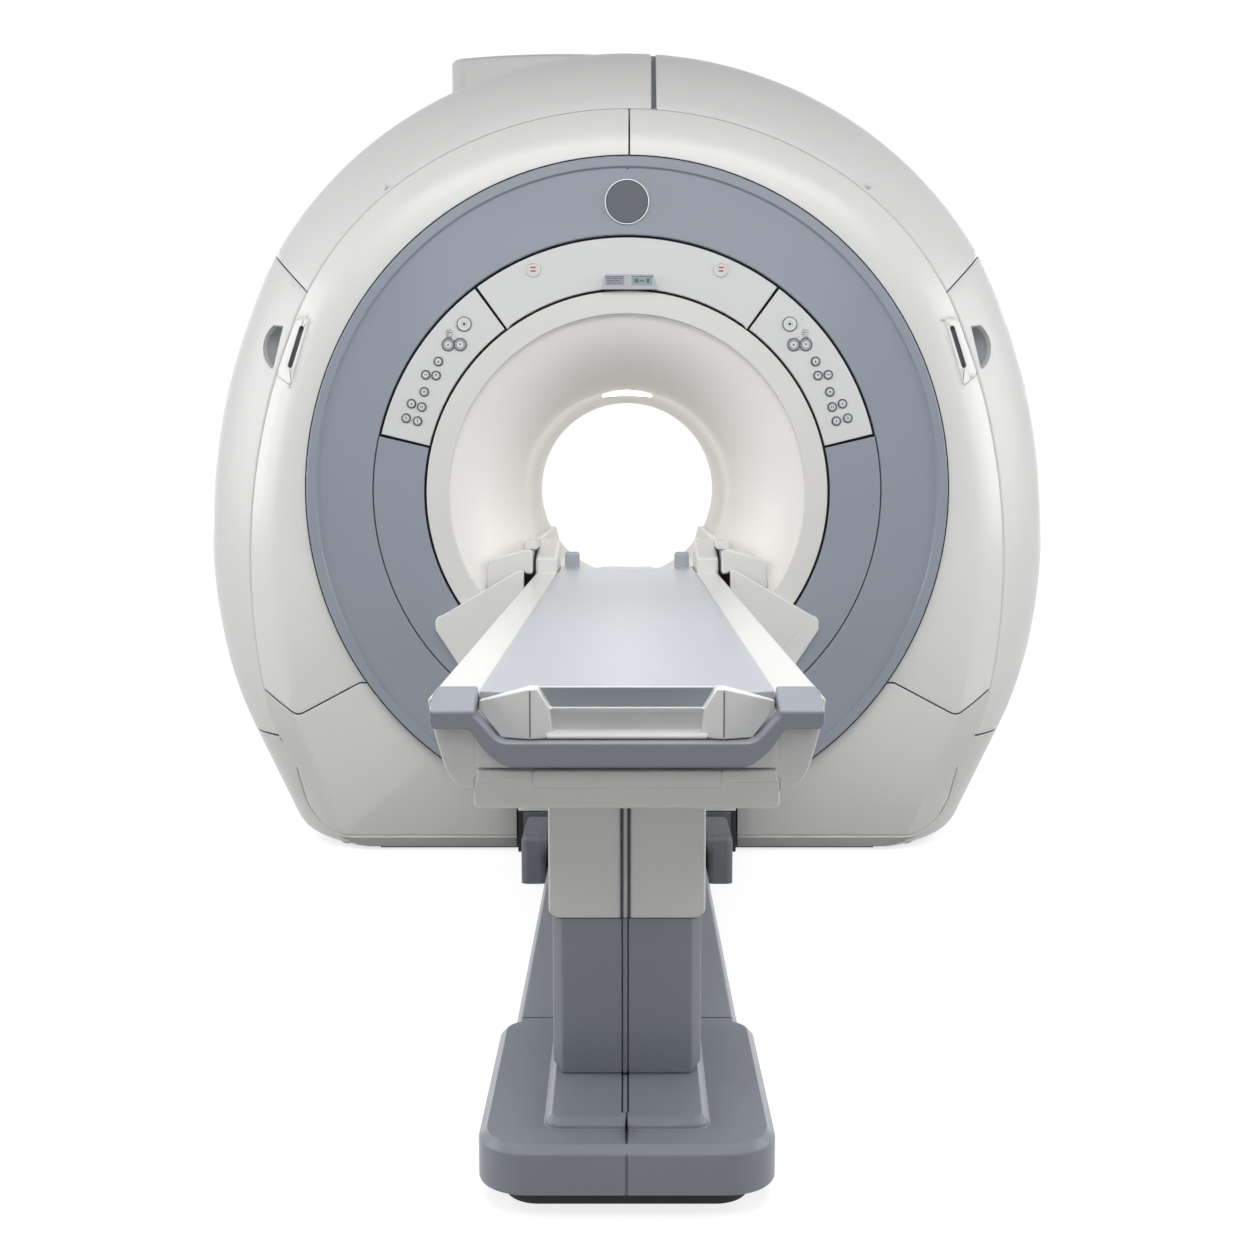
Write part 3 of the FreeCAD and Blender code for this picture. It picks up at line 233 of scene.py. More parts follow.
def newMaterial(name):
    material = bpy.data.materials.new(name)
    material.use_nodes = True
    tree = material.node_tree
    return material, tree, tree.nodes["Principled BSDF"]


def coatedFinish(name, look):
    material, tree, shader = newMaterial(name)
    shader.inputs["Metallic"].default_value = look.get("metallic", 0.0)
    shader.inputs["Coat Weight"].default_value = look.get("coat", 0.0)
    shader.inputs["Coat Roughness"].default_value = look.get("coatRoughness", 0.08)
    place = addNode(tree, "ShaderNodeTexCoord")
    # a slow drift of tone over about patchSize, as large sprayed or moulded skins have
    drift = addNode(tree, "ShaderNodeTexNoise", {"Scale": 1 / look["patchSize"], "Detail": 2.0},
                    {"Vector": (place, "Object")})
    tone = addNode(tree, "ShaderNodeValToRGB", {}, {"Fac": (drift, "Fac")})
    stops = ((drifting["shadeAt"], look["shade"]), (drifting["colourAt"], look["colour"]))
    for element, (position, hexText) in zip(tone.color_ramp.elements, stops):
        element.position = position
        element.color = linearColour(hexText)
    tree.links.new(tone.outputs["Color"], shader.inputs["Base Color"])
    gloss = addNode(tree, "ShaderNodeMapRange", {
        "To Min": look["roughness"] * drifting["glossLow"],
        "To Max": look["roughness"] * drifting["glossHigh"]}, {"Value": (drift, "Fac")})
    tree.links.new(gloss.outputs["Result"], shader.inputs["Roughness"])
    # the skin's own grain, grainSize across and grainHeight high
    grain = addNode(tree, "ShaderNodeTexNoise", {"Scale": 1 / look["grainSize"], "Detail": 3.0},
                    {"Vector": (place, "Object")})
    bump = addNode(tree, "ShaderNodeBump", {"Strength": 1.0, "Distance": look["grainHeight"]},
                   {"Height": (grain, "Fac")})
    tree.links.new(bump.outputs["Normal"], shader.inputs["Normal"])
    if "glow" in look:
        shader.inputs["Emission Color"].default_value = linearColour(look["glowColour"])
        shader.inputs["Emission Strength"].default_value = look["glow"]
    return material


looks = {
    # gel coat on glass fibre, polished: white, wet-looking, with the faint orange peel of a big mould;
    # the real peel is 2 to 3 mm across and is drawn coarser so that it shows
    "gelCoatWhite": {"colour": "#E6E6E4", "shade": "#E3E2E0", "roughness": 0.3, "coat": 0.4,
                     "coatRoughness": 0.22, "patchSize": 0.9, "grainSize": 0.014,
                     "grainHeight": 0.00006},
    # the lower covers' gel coat, painted greyer than the upper covers: painted shade, as less light
    # reaches them near the floor
    "gelCoatPaintedShade": {"colour": "#D3D3D1", "shade": "#CFCFCD", "roughness": 0.38, "coat": 0.3,
                    "coatRoughness": 0.25, "patchSize": 0.9, "grainSize": 0.014,
                    "grainHeight": 0.00006},
    # the same gel coat rubbed to satin on the side and top shells
    "gelCoatSatin": {"colour": "#E2E2E1", "shade": "#DEDEDD", "roughness": 0.42, "coat": 0.15,
                     "coatRoughness": 0.3, "patchSize": 0.9, "grainSize": 0.014,
                     "grainHeight": 0.00006},
    # two-pack satin lacquer sprayed on a formed sheet: even, bluish grey
    "lacquerGreyBlue": {"colour": "#9097A3", "shade": "#8C939F", "roughness": 0.36, "coat": 0.15,
                        "patchSize": 0.7, "grainSize": 0.008, "grainHeight": 0.00004},
    # injection-moulded ABS panels with a fine spark-eroded texture that kills sharp reflections
    "mouldedAbsWhite": {"colour": "#DADBDB", "shade": "#D6D7D7", "roughness": 0.42, "patchSize": 0.3,
                        "grainSize": 0.004, "grainHeight": 0.00003},
    # faintly warm white glass-fibre liner of the bore, satin so that lamps spread on it
    "linerWarmWhite": {"colour": "#F4F2EE", "shade": "#F1EEE9", "roughness": 0.45, "coat": 0.05,
                       "patchSize": 0.5, "grainSize": 0.006, "grainHeight": 0.00003},
    # the bore's mouth ring: the same glass fibre, painted a shade greyer: painted shade
    "mouthPaintedShade": {"colour": "#DEDDDA", "shade": "#DAD9D6", "roughness": 0.4, "coat": 0.1,
                   "patchSize": 0.5, "grainSize": 0.006, "grainHeight": 0.00003},
    # polyurethane skin foam, painted white: soft-looking with rounded highlights
    "skinFoamWhite": {"colour": "#E4E4E2", "shade": "#DFDFDD", "roughness": 0.38, "coat": 0.12,
                      "patchSize": 0.4, "grainSize": 0.006, "grainHeight": 0.00004},
    # silicone-coated key caps, matt mid grey, and the floor of the side panels' finger scoops
    "siliconeGrey": {"colour": "#A3A7AD", "shade": "#9CA0A6", "roughness": 0.55, "patchSize": 0.02,
                     "grainSize": 0.001, "grainHeight": 0.00001},
    # darker silicone: the call keys' rims, the ring on a label disc and the display's underside
    "siliconeDark": {"colour": "#7A7E84", "shade": "#74787E", "roughness": 0.55, "patchSize": 0.02,
                     "grainSize": 0.001, "grainHeight": 0.00001},
    # the printed middle of a key, or a label disc, under clear polyester film
    "labelFilm": {"colour": "#DEDFDF", "shade": "#D8D9D9", "roughness": 0.28, "patchSize": 0.02,
                  "grainSize": 0.001, "grainHeight": 0.00001},
    # pad-printed ink, flat and slightly chalky
    "inkDark": {"colour": "#33363B", "shade": "#2D3034", "roughness": 0.6, "patchSize": 0.02,
                "grainSize": 0.001, "grainHeight": 0.00001},
    "inkRed": {"colour": "#B0282C", "shade": "#A52428", "roughness": 0.55, "patchSize": 0.02,
               "grainSize": 0.001, "grainHeight": 0.00001},
    # green segments of the small screen
    "segmentGreen": {"colour": "#1F6B63", "shade": "#1B625B", "roughness": 0.4, "patchSize": 0.02,
                     "grainSize": 0.001, "grainHeight": 0.00001},
    # unlit screen behind its window: grey with a sharp surface shine
    "screenGrey": {"colour": "#8E949B", "shade": "#878D94", "roughness": 0.12, "patchSize": 0.03,
                   "grainSize": 0.002, "grainHeight": 0.000005},
    # pale grey moulding, finely textured: the lower part of the grip recess at the table's foot
    "displayGrey": {"colour": "#D2D3D3", "shade": "#CCCDCD", "roughness": 0.4, "patchSize": 0.05,
                    "grainSize": 0.002, "grainHeight": 0.00002},
    # painted shade: a darker band along the foot of the lower covers
    "footShadeBand": {"colour": "#A0A19F", "shade": "#9B9C9A", "roughness": 0.5, "patchSize": 0.3,
                 "grainSize": 0.006, "grainHeight": 0.00004},
    # moulded rubber plinth under the column's base, dull black
    "rubberBlack": {"colour": "#2B2E32", "shade": "#272A2E", "roughness": 0.7, "patchSize": 0.2,
                    "grainSize": 0.004, "grainHeight": 0.00006},
    # polycarbonate blend moulding, dark grey, fine matt texture: the dock block and the disc's land
    "mouldedDark": {"colour": "#565B63", "shade": "#50555D", "roughness": 0.5, "patchSize": 0.2,
                    "grainSize": 0.004, "grainHeight": 0.00006},
    # soft polyurethane bumper, slightly waxy, and the upper part of the grip recess
    "bumperFoam": {"colour": "#858A93", "shade": "#80858E", "roughness": 0.4, "coat": 0.15,
                   "patchSize": 0.2, "grainSize": 0.004, "grainHeight": 0.00004},
    # smooth pale laminate of the cradle, almost a satin mirror at low angles; also the display's housing
    "laminatePale": {"colour": "#B2B6BE", "shade": "#AEB2BA", "roughness": 0.33, "coat": 0.1,
                     "patchSize": 0.6, "grainSize": 0.006, "grainHeight": 0.00003},
    # powder coat on steel: cool grey with a faint orange peel, about 1 mm, drawn coarser
    "powderGrey": {"colour": "#8B909A", "shade": "#868B95", "roughness": 0.42, "coat": 0.1,
                   "patchSize": 0.3, "grainSize": 0.006, "grainHeight": 0.00006},
    # rolled stainless steel of the vessel, dull from its mill finish
    "steelMill": {"colour": "#A4A5A6", "shade": "#9C9D9E", "roughness": 0.38, "metallic": 1.0,
                  "patchSize": 0.4, "grainSize": 0.004, "grainHeight": 0.00003},
    # filled epoxy casting, brownish and matt
    "castEpoxy": {"colour": "#A08F6C", "shade": "#978663", "roughness": 0.6, "patchSize": 0.3,
                  "grainSize": 0.006, "grainHeight": 0.0001},
    # painted steel: the frame and the saddles inside the covers, and the dock's feet
    "framePaint": {"colour": "#6C7177", "shade": "#666B71", "roughness": 0.5, "patchSize": 0.3,
                   "grainSize": 0.005, "grainHeight": 0.00006},
    # closed-cell foam strip in the joints: black, swallows light; the same black is painted shade behind
    # the panels' gaps, round the disc's edge and on the collar groove's walls
    "blackFoamAndGapShade": {"colour": "#141517", "shade": "#111214", "roughness": 0.85, "patchSize": 0.1,
                  "grainSize": 0.004, "grainHeight": 0.0001},
    # extruded joint cover between the top shells; the same grey is painted shade in the sleeve's groove
    # and along the foot cap's creases
    "jointGreyAndGrooveShade": {"colour": "#5E646D", "shade": "#585E67", "roughness": 0.5, "patchSize": 0.1,
                  "grainSize": 0.004, "grainHeight": 0.00004},
    # brushed aluminium ring round the disc's land
    "aluminiumRing": {"colour": "#B4B7BB", "shade": "#ABAEB2", "roughness": 0.35, "metallic": 1.0,
                      "patchSize": 0.02, "grainSize": 0.001, "grainHeight": 0.00001},
    # opal acrylic lamp cover, lit from inside
    "opalLamp": {"colour": "#F7F6F2", "shade": "#F3F2EE", "roughness": 0.3, "patchSize": 0.1,
                 "grainSize": 0.004, "grainHeight": 0.00001, "glow": 8.0, "glowColour": "#FFFCF6"},
}
finish = {name: coatedFinish(name, look) for name, look in looks.items()}
print("finishes made:", len(finish))

finishOfSlot = {
    "cover_white": "gelCoatWhite", "shell_white": "gelCoatSatin", "disc_blue": "lacquerGreyBlue",
    "panel_blue": "lacquerGreyBlue", "panel_white": "mouldedAbsWhite", "key_grey": "siliconeGrey",
    "stop_white": "mouldedAbsWhite", "bore_white": "linerWarmWhite", "trim_white": "skinFoamWhite",
    "display_grey": "displayGrey", "dark_grey": "mouldedDark", "bumper_grey": "bumperFoam",
    "cradle_grey": "laminatePale", "column_grey": "powderGrey", "steel": "steelMill",
    "coil_resin": "castEpoxy", "frame_paint": "framePaint",
}
for node, obj in frame["nodes"].items():
    paint(obj, finish[finishOfSlot[slotOf[node]]])


# merged copies of the nodes, with rounded edges, smooth curves and finishes for their insets

merging = {"distance": 0.00002, "flatTurn": 0.2}  # metres, and degrees between faces that count as one


def mergedCopy(node, joinFlat=True):
    pick(frame["nodes"][node])
    bpy.ops.object.duplicate()
    copy = bpy.context.view_layer.objects.active
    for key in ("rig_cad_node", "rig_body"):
        if key in copy:
            del copy[key]
    copy.parent = None
    bpy.ops.object.mode_set(mode="EDIT")
    bpy.ops.mesh.select_all(action="SELECT")
    bpy.ops.mesh.remove_doubles(threshold=merging["distance"])
    if joinFlat:
        bpy.ops.mesh.dissolve_limited(angle_limit=math.radians(merging["flatTurn"]))
    bpy.ops.object.mode_set(mode="OBJECT")
    return copy


def cutAcross(obj, planes):
    # cuts new edges where the planes, each a point and a normal, cross the piece
    pick(obj)
    bpy.ops.object.mode_set(mode="EDIT")
    for place, normal in planes:
        bpy.ops.mesh.select_all(action="SELECT")
        bpy.ops.mesh.bisect(plane_co=place, plane_no=normal)
    bpy.ops.object.mode_set(mode="OBJECT")


def roundEdges(obj, width, sides, wanted):
    # rounds only the edges whose two ends pass the test
    for old in [layer for layer in obj.data.attributes if layer.name == "bevel_weight_edge"]:
        obj.data.attributes.remove(old)
    weights = obj.data.attributes.new("bevel_weight_edge", "FLOAT", "EDGE")
    points = [vertex.co for vertex in obj.data.vertices]
    for line in obj.data.edges:
        weights.data[line.index].value = float(wanted(*(points[i] for i in line.vertices)))
    applyModifier(obj, "BEVEL", {"width": width, "segments": sides, "use_clamp_overlap": False,
                                 "limit_method": "WEIGHT"})


def dressNode(node, edge, inlays=(), extras=(), flat=True, sides=2, joinFlat=True, shifts=(),
              edgeTest=None, cuts=(), rounds=()):
    # edge is how wide the edges are rounded, and sides in how many steps. Each inlay is a finish and a
    # face test, each shift a point test and its changes, each cut a place and a normal, and each round a
    # width, its steps and an edge test. Extras are pieces that are joined on.
    copy = mergedCopy(node, joinFlat)
    for wanted, changes in shifts:
        shiftPoints(copy, wanted, **changes)
    if cuts:
        cutAcross(copy, cuts)
    for inlay, wanted in inlays:
        paintFaces(copy, finish[inlay], wanted)
    for width, steps, test in rounds:
        roundEdges(copy, width, steps, test)
    if edge and edgeTest:
        roundEdges(copy, edge, sides, edgeTest)
    elif edge:
        applyModifier(copy, "BEVEL", {
            "width": edge, "segments": sides, "use_clamp_overlap": False, "limit_method": "ANGLE",
            "angle_limit": math.radians(edgeTurn["roundAbove"])})
    if extras:
        joinInto(copy, *extras)
    finishPiece(copy, node + "_dressed", bodyOf[node])
    if flat:
        # big flat faces keep one even shade beside their rounded edges
        applyModifier(copy, "WEIGHTED_NORMAL", {"keep_sharp": True})
    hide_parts(node)
    return copy


def everyFace(centre, normal):
    return True


def facesTable(normal):
    return normal.y < -facing


covers = {"edge": 0.0025, "footShadeBand": 0.036, "underside": -0.5}
for node in ("left_front_cover", "right_front_cover", "right_top_shell", "rear_cover"):
    dressNode(node, covers["edge"], flat=False)
# the lower covers are painted greyer all over, and end in a darker band just above the floor: both are
# painted shade
for node in ("left_lower_cover", "right_lower_cover"):
    dressNode(node, covers["edge"], [
        ("gelCoatPaintedShade", everyFace),
        ("footShadeBand", lambda centre, normal: centre.z < covers["footShadeBand"]
         and normal.z > covers["underside"])], flat=False,
        cuts=[((0, 0, covers["footShadeBand"]), (0, 0, 1))])
# the edges of these are left as they come
for node in ("turret_cover", "bore_tube", "front_flare"):
    dressNode(node, 0.0, flat=False)

# the dark joint cover between the top shells is part of the left one, sunk below its skin
joint = {"left": 0.0668, "right": 0.0799, "wallTurn": 0.6}
dressNode("left_top_shell", covers["edge"], [
    ("jointGreyAndGrooveShade", lambda centre, normal: joint["left"] < centre.x < joint["right"]
     and abs(normal.x) < joint["wallTurn"])], flat=False)

# each side panel has a finger scoop with a grey floor
scoop = {"floor": -0.5905, "near": 0.002, "reach": 1.04, "low": 1.3, "high": 1.5}
for node in ("left_side_panel", "right_side_panel"):
    dressNode(node, covers["edge"], [
        ("siliconeGrey", lambda centre, normal: abs(centre.y - scoop["floor"]) < scoop["near"]
         and facesTable(normal) and abs(centre.x) < scoop["reach"]
         and scoop["low"] < centre.z < scoop["high"])], flat=False)
print("covers dressed")

# the front disc: its rim is an upright oval, and its round land is dark plastic in a thin bright ring
oval = {"halfWidth": 0.880, "halfHeight": 0.905, "rimStart": 0.963, "edge": 0.004}
low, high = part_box("front_disc")
rimGrowth = (oval["halfWidth"] / high.x, 1, oval["halfHeight"] / (high.z - boreHeight))


def onRim(point):
    across, up = point.x / high.x, (point.z - boreHeight) / (high.z - boreHeight)
    return math.hypot(across, up) > oval["rimStart"]


badge = {"radius": 0.058, "height": 1.785, "proud": 0.002, "ring": 0.0014, "ringThick": 0.0012,
         "front": plateFront - 0.004}
dressNode("front_disc", oval["edge"], shifts=[
    (onRim, {"grow": rimGrowth, "about": (0, 0, boreHeight)})], inlays=[
    ("mouldedDark", lambda centre, normal: facesTable(normal) and centre.y < plateFront - badge["proud"]
     and math.hypot(centre.x, centre.z - badge["height"]) < badge["radius"])])
badgeRing = frontRing((0, badge["height"]), badge["front"],
                      (badge["radius"] + badge["ring"],) * 2, (badge["radius"] - badge["ring"] / 2,) * 2,
                      badge["ringThick"], 96)
finishPiece(badgeRing, "badge_ring", "gantry", finish["aluminiumRing"])
# the black joint between the two front covers runs on across the disc's lip
lipJoint = {"across": 0.0015, "low": 1.871, "high": 1.904, "width": 0.006, "thick": 0.0005}
jointMark = frontMark((lipJoint["across"], (lipJoint["low"] + lipJoint["high"]) / 2), plateFront,
                      (lipJoint["width"], lipJoint["high"] - lipJoint["low"]), thick=lipJoint["thick"])
finishPiece(jointMark, "lip_joint", "gantry", finish["blackFoamAndGapShade"])
dressNode("inner_disc", edge=0.0015)
# the bezel ring is painted greyer than the liner: painted shade
dressNode("bezel_ring", edge=0.003, inlays=[("mouthPaintedShade", everyFace)])

# painted shade: a black sheet behind the gaps round the panels; and a black gasket round the disc, which
# also stands in for the shade at its edge; both leave out the dock
panelGapShade = {"inner": 0.50, "outer": 0.7005, "thick": 0.0001, "lift": 0.00002, "bay": 0.33}
backing = frontRing((0, boreHeight), coverFront - panelGapShade["lift"], (panelGapShade["outer"],) * 2,
                    (panelGapShade["inner"],) * 2, panelGapShade["thick"], 192)
deleteFaces(backing, lambda centre, normal: abs(centre.x) < panelGapShade["bay"] and centre.z < boreHeight)
finishPiece(backing, "panel_gap_shade", "gantry", finish["blackFoamAndGapShade"])
# the disc's black gasket ring is partly painted shade for the dark gap at its edge
discEdge = {"width": 0.0065, "thick": 0.003, "under": 0.004, "bay": 0.306, "bayTop": 0.4}
discGasketAndShade = frontRing((0, boreHeight), coverFront,
                       (oval["halfWidth"] + discEdge["width"], oval["halfHeight"] + discEdge["width"]),
                       (oval["halfWidth"] - discEdge["under"], oval["halfHeight"] - discEdge["under"]),
                       discEdge["thick"], 256)
deleteFaces(discGasketAndShade, lambda centre, normal: abs(centre.x) < discEdge["bay"]
            and centre.z < discEdge["bayTop"])
finishPiece(discGasketAndShade, "disc_gasket_and_shade", "gantry", finish["blackFoamAndGapShade"])
print("disc and gaskets ready")

# the lamp on the tube's ceiling: an oval opal cover that follows the tube's curve
boreLamp = {"halfWidth": 0.068, "front": -0.458, "back": -0.12, "radius": 0.2975, "thick": 0.005,
            "sides": 40, "tubeSides": 256}
lampMiddle = (boreLamp["front"] + boreLamp["back"]) / 2
lampReach = (boreLamp["back"] - boreLamp["front"]) / 2
bpy.ops.object.select_all(action="DESELECT")
bpy.ops.mesh.primitive_cylinder_add(
    vertices=boreLamp["tubeSides"], radius=boreLamp["radius"], depth=2 * lampReach,
    end_fill_type="NOTHING", rotation=(math.radians(90), 0, 0), location=(0, lampMiddle, boreHeight))
lampCover = settle(bpy.context.object)
bpy.ops.object.mode_set(mode="EDIT")
bpy.ops.mesh.select_all(action="SELECT")
bpy.ops.mesh.bisect(plane_co=(0, 0, boreHeight), plane_no=(0, 0, -1), clear_outer=True)
for step in range(boreLamp["sides"]):
    turn = 2 * math.pi * (step + 0.5) / boreLamp["sides"]
    across, along = math.cos(turn), math.sin(turn)
    bpy.ops.mesh.select_all(action="SELECT")
    bpy.ops.mesh.bisect(plane_co=(across * boreLamp["halfWidth"], lampMiddle + along * lampReach, 0),
                        plane_no=(across / boreLamp["halfWidth"], along / lampReach, 0),
                        clear_outer=True)
bpy.ops.mesh.select_all(action="SELECT")
bpy.ops.mesh.normals_make_consistent(inside=False)
bpy.ops.object.mode_set(mode="OBJECT")
applyModifier(lampCover, "SOLIDIFY", {"thickness": boreLamp["thick"], "offset": 0.0})
finishPiece(lampCover, "bore_lamp", "gantry", finish["opalLamp"])
print("bore lamp ready")

# the panels' keys: a dark rim, a stepped grey ring and a pale printed middle
marks = {
    # printed on a key: (across, up, width, height, sides, turn), in metres and degrees
    "bar": [(0, 0, 0.006, 0.0016, 4, 45)],
    "post": [(0, 0, 0.0016, 0.006, 4, 45)],
    "plus": [(0, 0, 0.0056, 0.0014, 4, 45), (0, 0, 0.0014, 0.0056, 4, 45)],
    "dot": [(0, 0, 0.0034, 0.0034, 16, 0)],
    "up": [(0, 0, 0.0052, 0.0046, 3, 0)],
    "down": [(0, 0, 0.0052, 0.0046, 3, 180)],
    "pair": [(-0.0017, 0, 0.0014, 0.0052, 4, 45), (0.0017, 0, 0.0014, 0.0052, 4, 45)],
    "split": [(0, 0.0018, 0.0052, 0.0014, 4, 45), (0, -0.0018, 0.0052, 0.0014, 4, 45)],
    "rows": [(-0.001, 0.003, 0.007, 0.0012, 4, 45), (0, 0, 0.009, 0.0012, 4, 45),
             (-0.002, -0.003, 0.005, 0.0012, 4, 45)],
}
keyMarks = ("up", "bar", "down", "plus", "dot", "pair", "split", "post")
markScale = {"small": 1.35, "call": 2.2, "stop": 2.6, "rocker": 1.25, "rows": 1.5}
capStart = 0.0007  # the rim starts this far behind the cap's front
# rings of a cap, from its rim inwards: (inset, step back, finish of what lies inside)
smallCap = [(0.0008, -capStart, "inkDark"), (0.0011, 0, "inkDark"), (0.0003, 0.0009, "siliconeGrey"),
            (0.0026, 0, "siliconeGrey"), (0.0003, -0.0004, "labelFilm")]
callCap = [(0.001, -capStart, "siliconeDark"), (0.0014, 0, "siliconeDark"),
           (0.0003, 0.0006, "labelFilm"), (0.0075, 0, "labelFilm"),
           (0.0012, 0.0003, "siliconeGrey"), (0.0012, 0, "labelFilm")]
stopCap = [(0.0012, -capStart, "mouldedAbsWhite"), (0.0035, 0, "mouldedAbsWhite"),
           (0.0014, 0.0024, "mouldedAbsWhite")]


def printMarks(name, place, y, scale, ink="inkDark"):
    return [paint(frontMark((place[0] + across * scale, place[1] + up * scale), y,
                            (width * scale, height * scale), sides, turn), finish[ink])
            for across, up, width, height, sides, turn in marks[name]]


def roundKey(node, cap, mark, ink, scale):
    # a cap shaped from a cylinder that stands on its front, which is inset and stepped ring by ring
    low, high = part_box(node)
    depth = high.y - low.y
    radius = (high.x - low.x) / 2
    middle = ((low.x + high.x) / 2, (low.z + high.z) / 2)
    bpy.ops.object.select_all(action="DESELECT")
    bpy.ops.mesh.primitive_cylinder_add(vertices=48, radius=radius, depth=depth - capStart,
                                        location=(0, 0, (depth + capStart) / 2))
    key = paint(settle(bpy.context.object), finish[cap[0][2]])
    selectFaces(key, lambda centre, normal: normal.z < -facing)
    limits = []
    for inset, step, material in cap:
        bpy.ops.mesh.inset(thickness=inset, depth=0)
        bpy.ops.transform.translate(value=(0, 0, step))
        radius -= inset
        limits.append((radius, material))
    bpy.ops.object.mode_set(mode="OBJECT")
    for limit, material in limits:
        paintFaces(key, finish[material], lambda centre, normal: math.hypot(centre.x, centre.y) < limit
                   and centre.z < depth / 2)
    key.rotation_euler = (math.radians(-90), 0, 0)
    key.location = (middle[0], low.y, middle[1])
    settle(key)
    front = low.y + capStart + sum(step for _, step, _ in cap)
    joinInto(key, *printMarks(mark, middle, front, scale, ink))
    finishPiece(key, node + "_cap", bodyOf[node])
    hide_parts(node)


# each lobe of a rocker has a dark ring, a pale disc and an arrow
lobe = {"ringAt": 0.0002, "ringOuter": 0.0012, "ringInner": 0.003, "ringThick": 0.0004, "discAt": 0.0011,
        "discSize": 0.95, "arrowAt": 0.0008, "edge": 0.0006}
for side in ("left", "right"):
    for number, mark in enumerate(keyMarks):
        roundKey(f"{side}_key_{number + 1}", smallCap, mark, "inkDark", markScale["small"])
    roundKey(f"{side}_call_key", callCap, "dot", "inkDark", markScale["call"])
    roundKey(f"{side}_stop_key", stopCap, "split", "inkRed", markScale["stop"])
    rocker = f"{side}_rocker_key"
    low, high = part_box(rocker)
    reach = (high.z - low.z) / 2
    extras = []
    for middleX, mark in ((low.x + reach, "up"), (high.x - reach, "down")):
        place = (middleX, (low.z + high.z) / 2)
        ring = frontRing(place, low.y + lobe["ringAt"], (reach - lobe["ringOuter"],) * 2,
                         (reach - lobe["ringInner"],) * 2, lobe["ringThick"], 48)
        extras.append(paint(ring, finish["inkDark"]))
        disc = frontMark(place, low.y + lobe["discAt"], (reach * lobe["discSize"],) * 2, 32, 0)
        extras.append(paint(disc, finish["labelFilm"]))
        extras += printMarks(mark, place, low.y + lobe["arrowAt"], markScale["rocker"])
    dressNode(rocker, lobe["edge"], extras=extras)

# the white panels: their outline is rounded over, the keys' holes stay crisp
panelKeys = [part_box(f"{side}_{key}") for side in ("left", "right")
             for key in ("call_key", "rocker_key", "stop_key", *(f"key_{n}" for n in range(1, 9)))]
panelEdge = {"round": 0.0022, "clear": 0.004, "inner": 0.559, "outer": 0.690, "behind": 0.001,
             "ahead": 0.0005, "endLength": 0.13}


def onOutline(first, second):
    # an edge of the panel's front, clear of the keys: along its inner or outer arc, or across an end
    middle = (first + second) / 2
    for low, high in panelKeys:
        if (low.x - panelEdge["clear"] < middle.x < high.x + panelEdge["clear"]
                and low.z - panelEdge["clear"] < middle.z < high.z + panelEdge["clear"]):
            return False
    if max(first.y, second.y) > plateFront + panelEdge["behind"]:
        return False
    if min(first.y, second.y) < plateFront - panelEdge["ahead"]:
        return False
    radii = [math.hypot(point.x, point.z - boreHeight) for point in (first, second)]
    along = max(radii) < panelEdge["inner"] or min(radii) > panelEdge["outer"]
    across = max(radii) - min(radii) > panelEdge["endLength"]
    return along or across


# a pale label disc stands on each side panel
labelDisc = {"across": 0.483, "height": 1.438, "ringOuter": 0.0096, "ringInner": 0.0086, "proud": 0.001}
for side, sign in (("left", -1), ("right", 1)):
    place = (sign * labelDisc["across"], labelDisc["height"])
    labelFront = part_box(f"{side}_button_panel")[0].y
    ring = frontRing(place, labelFront, (labelDisc["ringOuter"],) * 2, (labelDisc["ringInner"],) * 2,
                     inkThick, 48)
    extras = [paint(ring, finish["siliconeDark"])]
    extras += printMarks("rows", place, labelFront, markScale["rows"])
    dressNode(f"{side}_button_panel", panelEdge["round"], [
        ("labelFilm", lambda centre, normal: centre.y < plateFront - labelDisc["proud"]
         and facesTable(normal))], extras, joinFlat=False, edgeTest=onOutline)
dressNode("top_control_panel", panelEdge["round"], joinFlat=False, edgeTest=onOutline)
print("keys and panels ready")

# the display: two screens sunk in a pale housing, with plain bars on them
display = {
    "depth": 0.003, "near": 0.0004, "middle": 0.023, "edge": 0.0012, "under": 0.001,
    # the left screen: where its bars start, how thick they are, the gap between them, and the rows as
    # (up, lengths)
    "barsFrom": -0.053, "bar": 0.0016, "gap": 0.003,
    "rows": ((0.0062, (0.010, 0.016, 0.008)), (0, (0.018, 0.012)), (-0.0062, (0.008, 0.012, 0.012))),
    # the right screen's blocks as (across, width, height)
    "blocks": ((0.0255, 0.010, 0.010), (0.0405, 0.012, 0.004), (0.0565, 0.008, 0.012)),
}
low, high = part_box("status_display")
screenFront = low.y + display["depth"]
screenMiddle = low.z + display["middle"]
extras = []
for up, lengths in display["rows"]:
    across = display["barsFrom"]
    for length in lengths:
        bar = frontMark((across + length / 2, screenMiddle + up), screenFront, (length, display["bar"]))
        extras.append(paint(bar, finish["inkDark"]))
        across += length + display["gap"]
for across, width, height in display["blocks"]:
    block = frontMark((across, screenMiddle), screenFront, (width, height))
    extras.append(paint(block, finish["segmentGreen"]))
dressNode("status_display", display["edge"], [
    ("laminatePale", everyFace),
    ("screenGrey", lambda centre, normal: abs(centre.y - screenFront) < display["near"]
     and facesTable(normal)),
    ("siliconeDark", lambda centre, normal: normal.z < -facing
     and centre.z < low.z + display["under"])], extras)

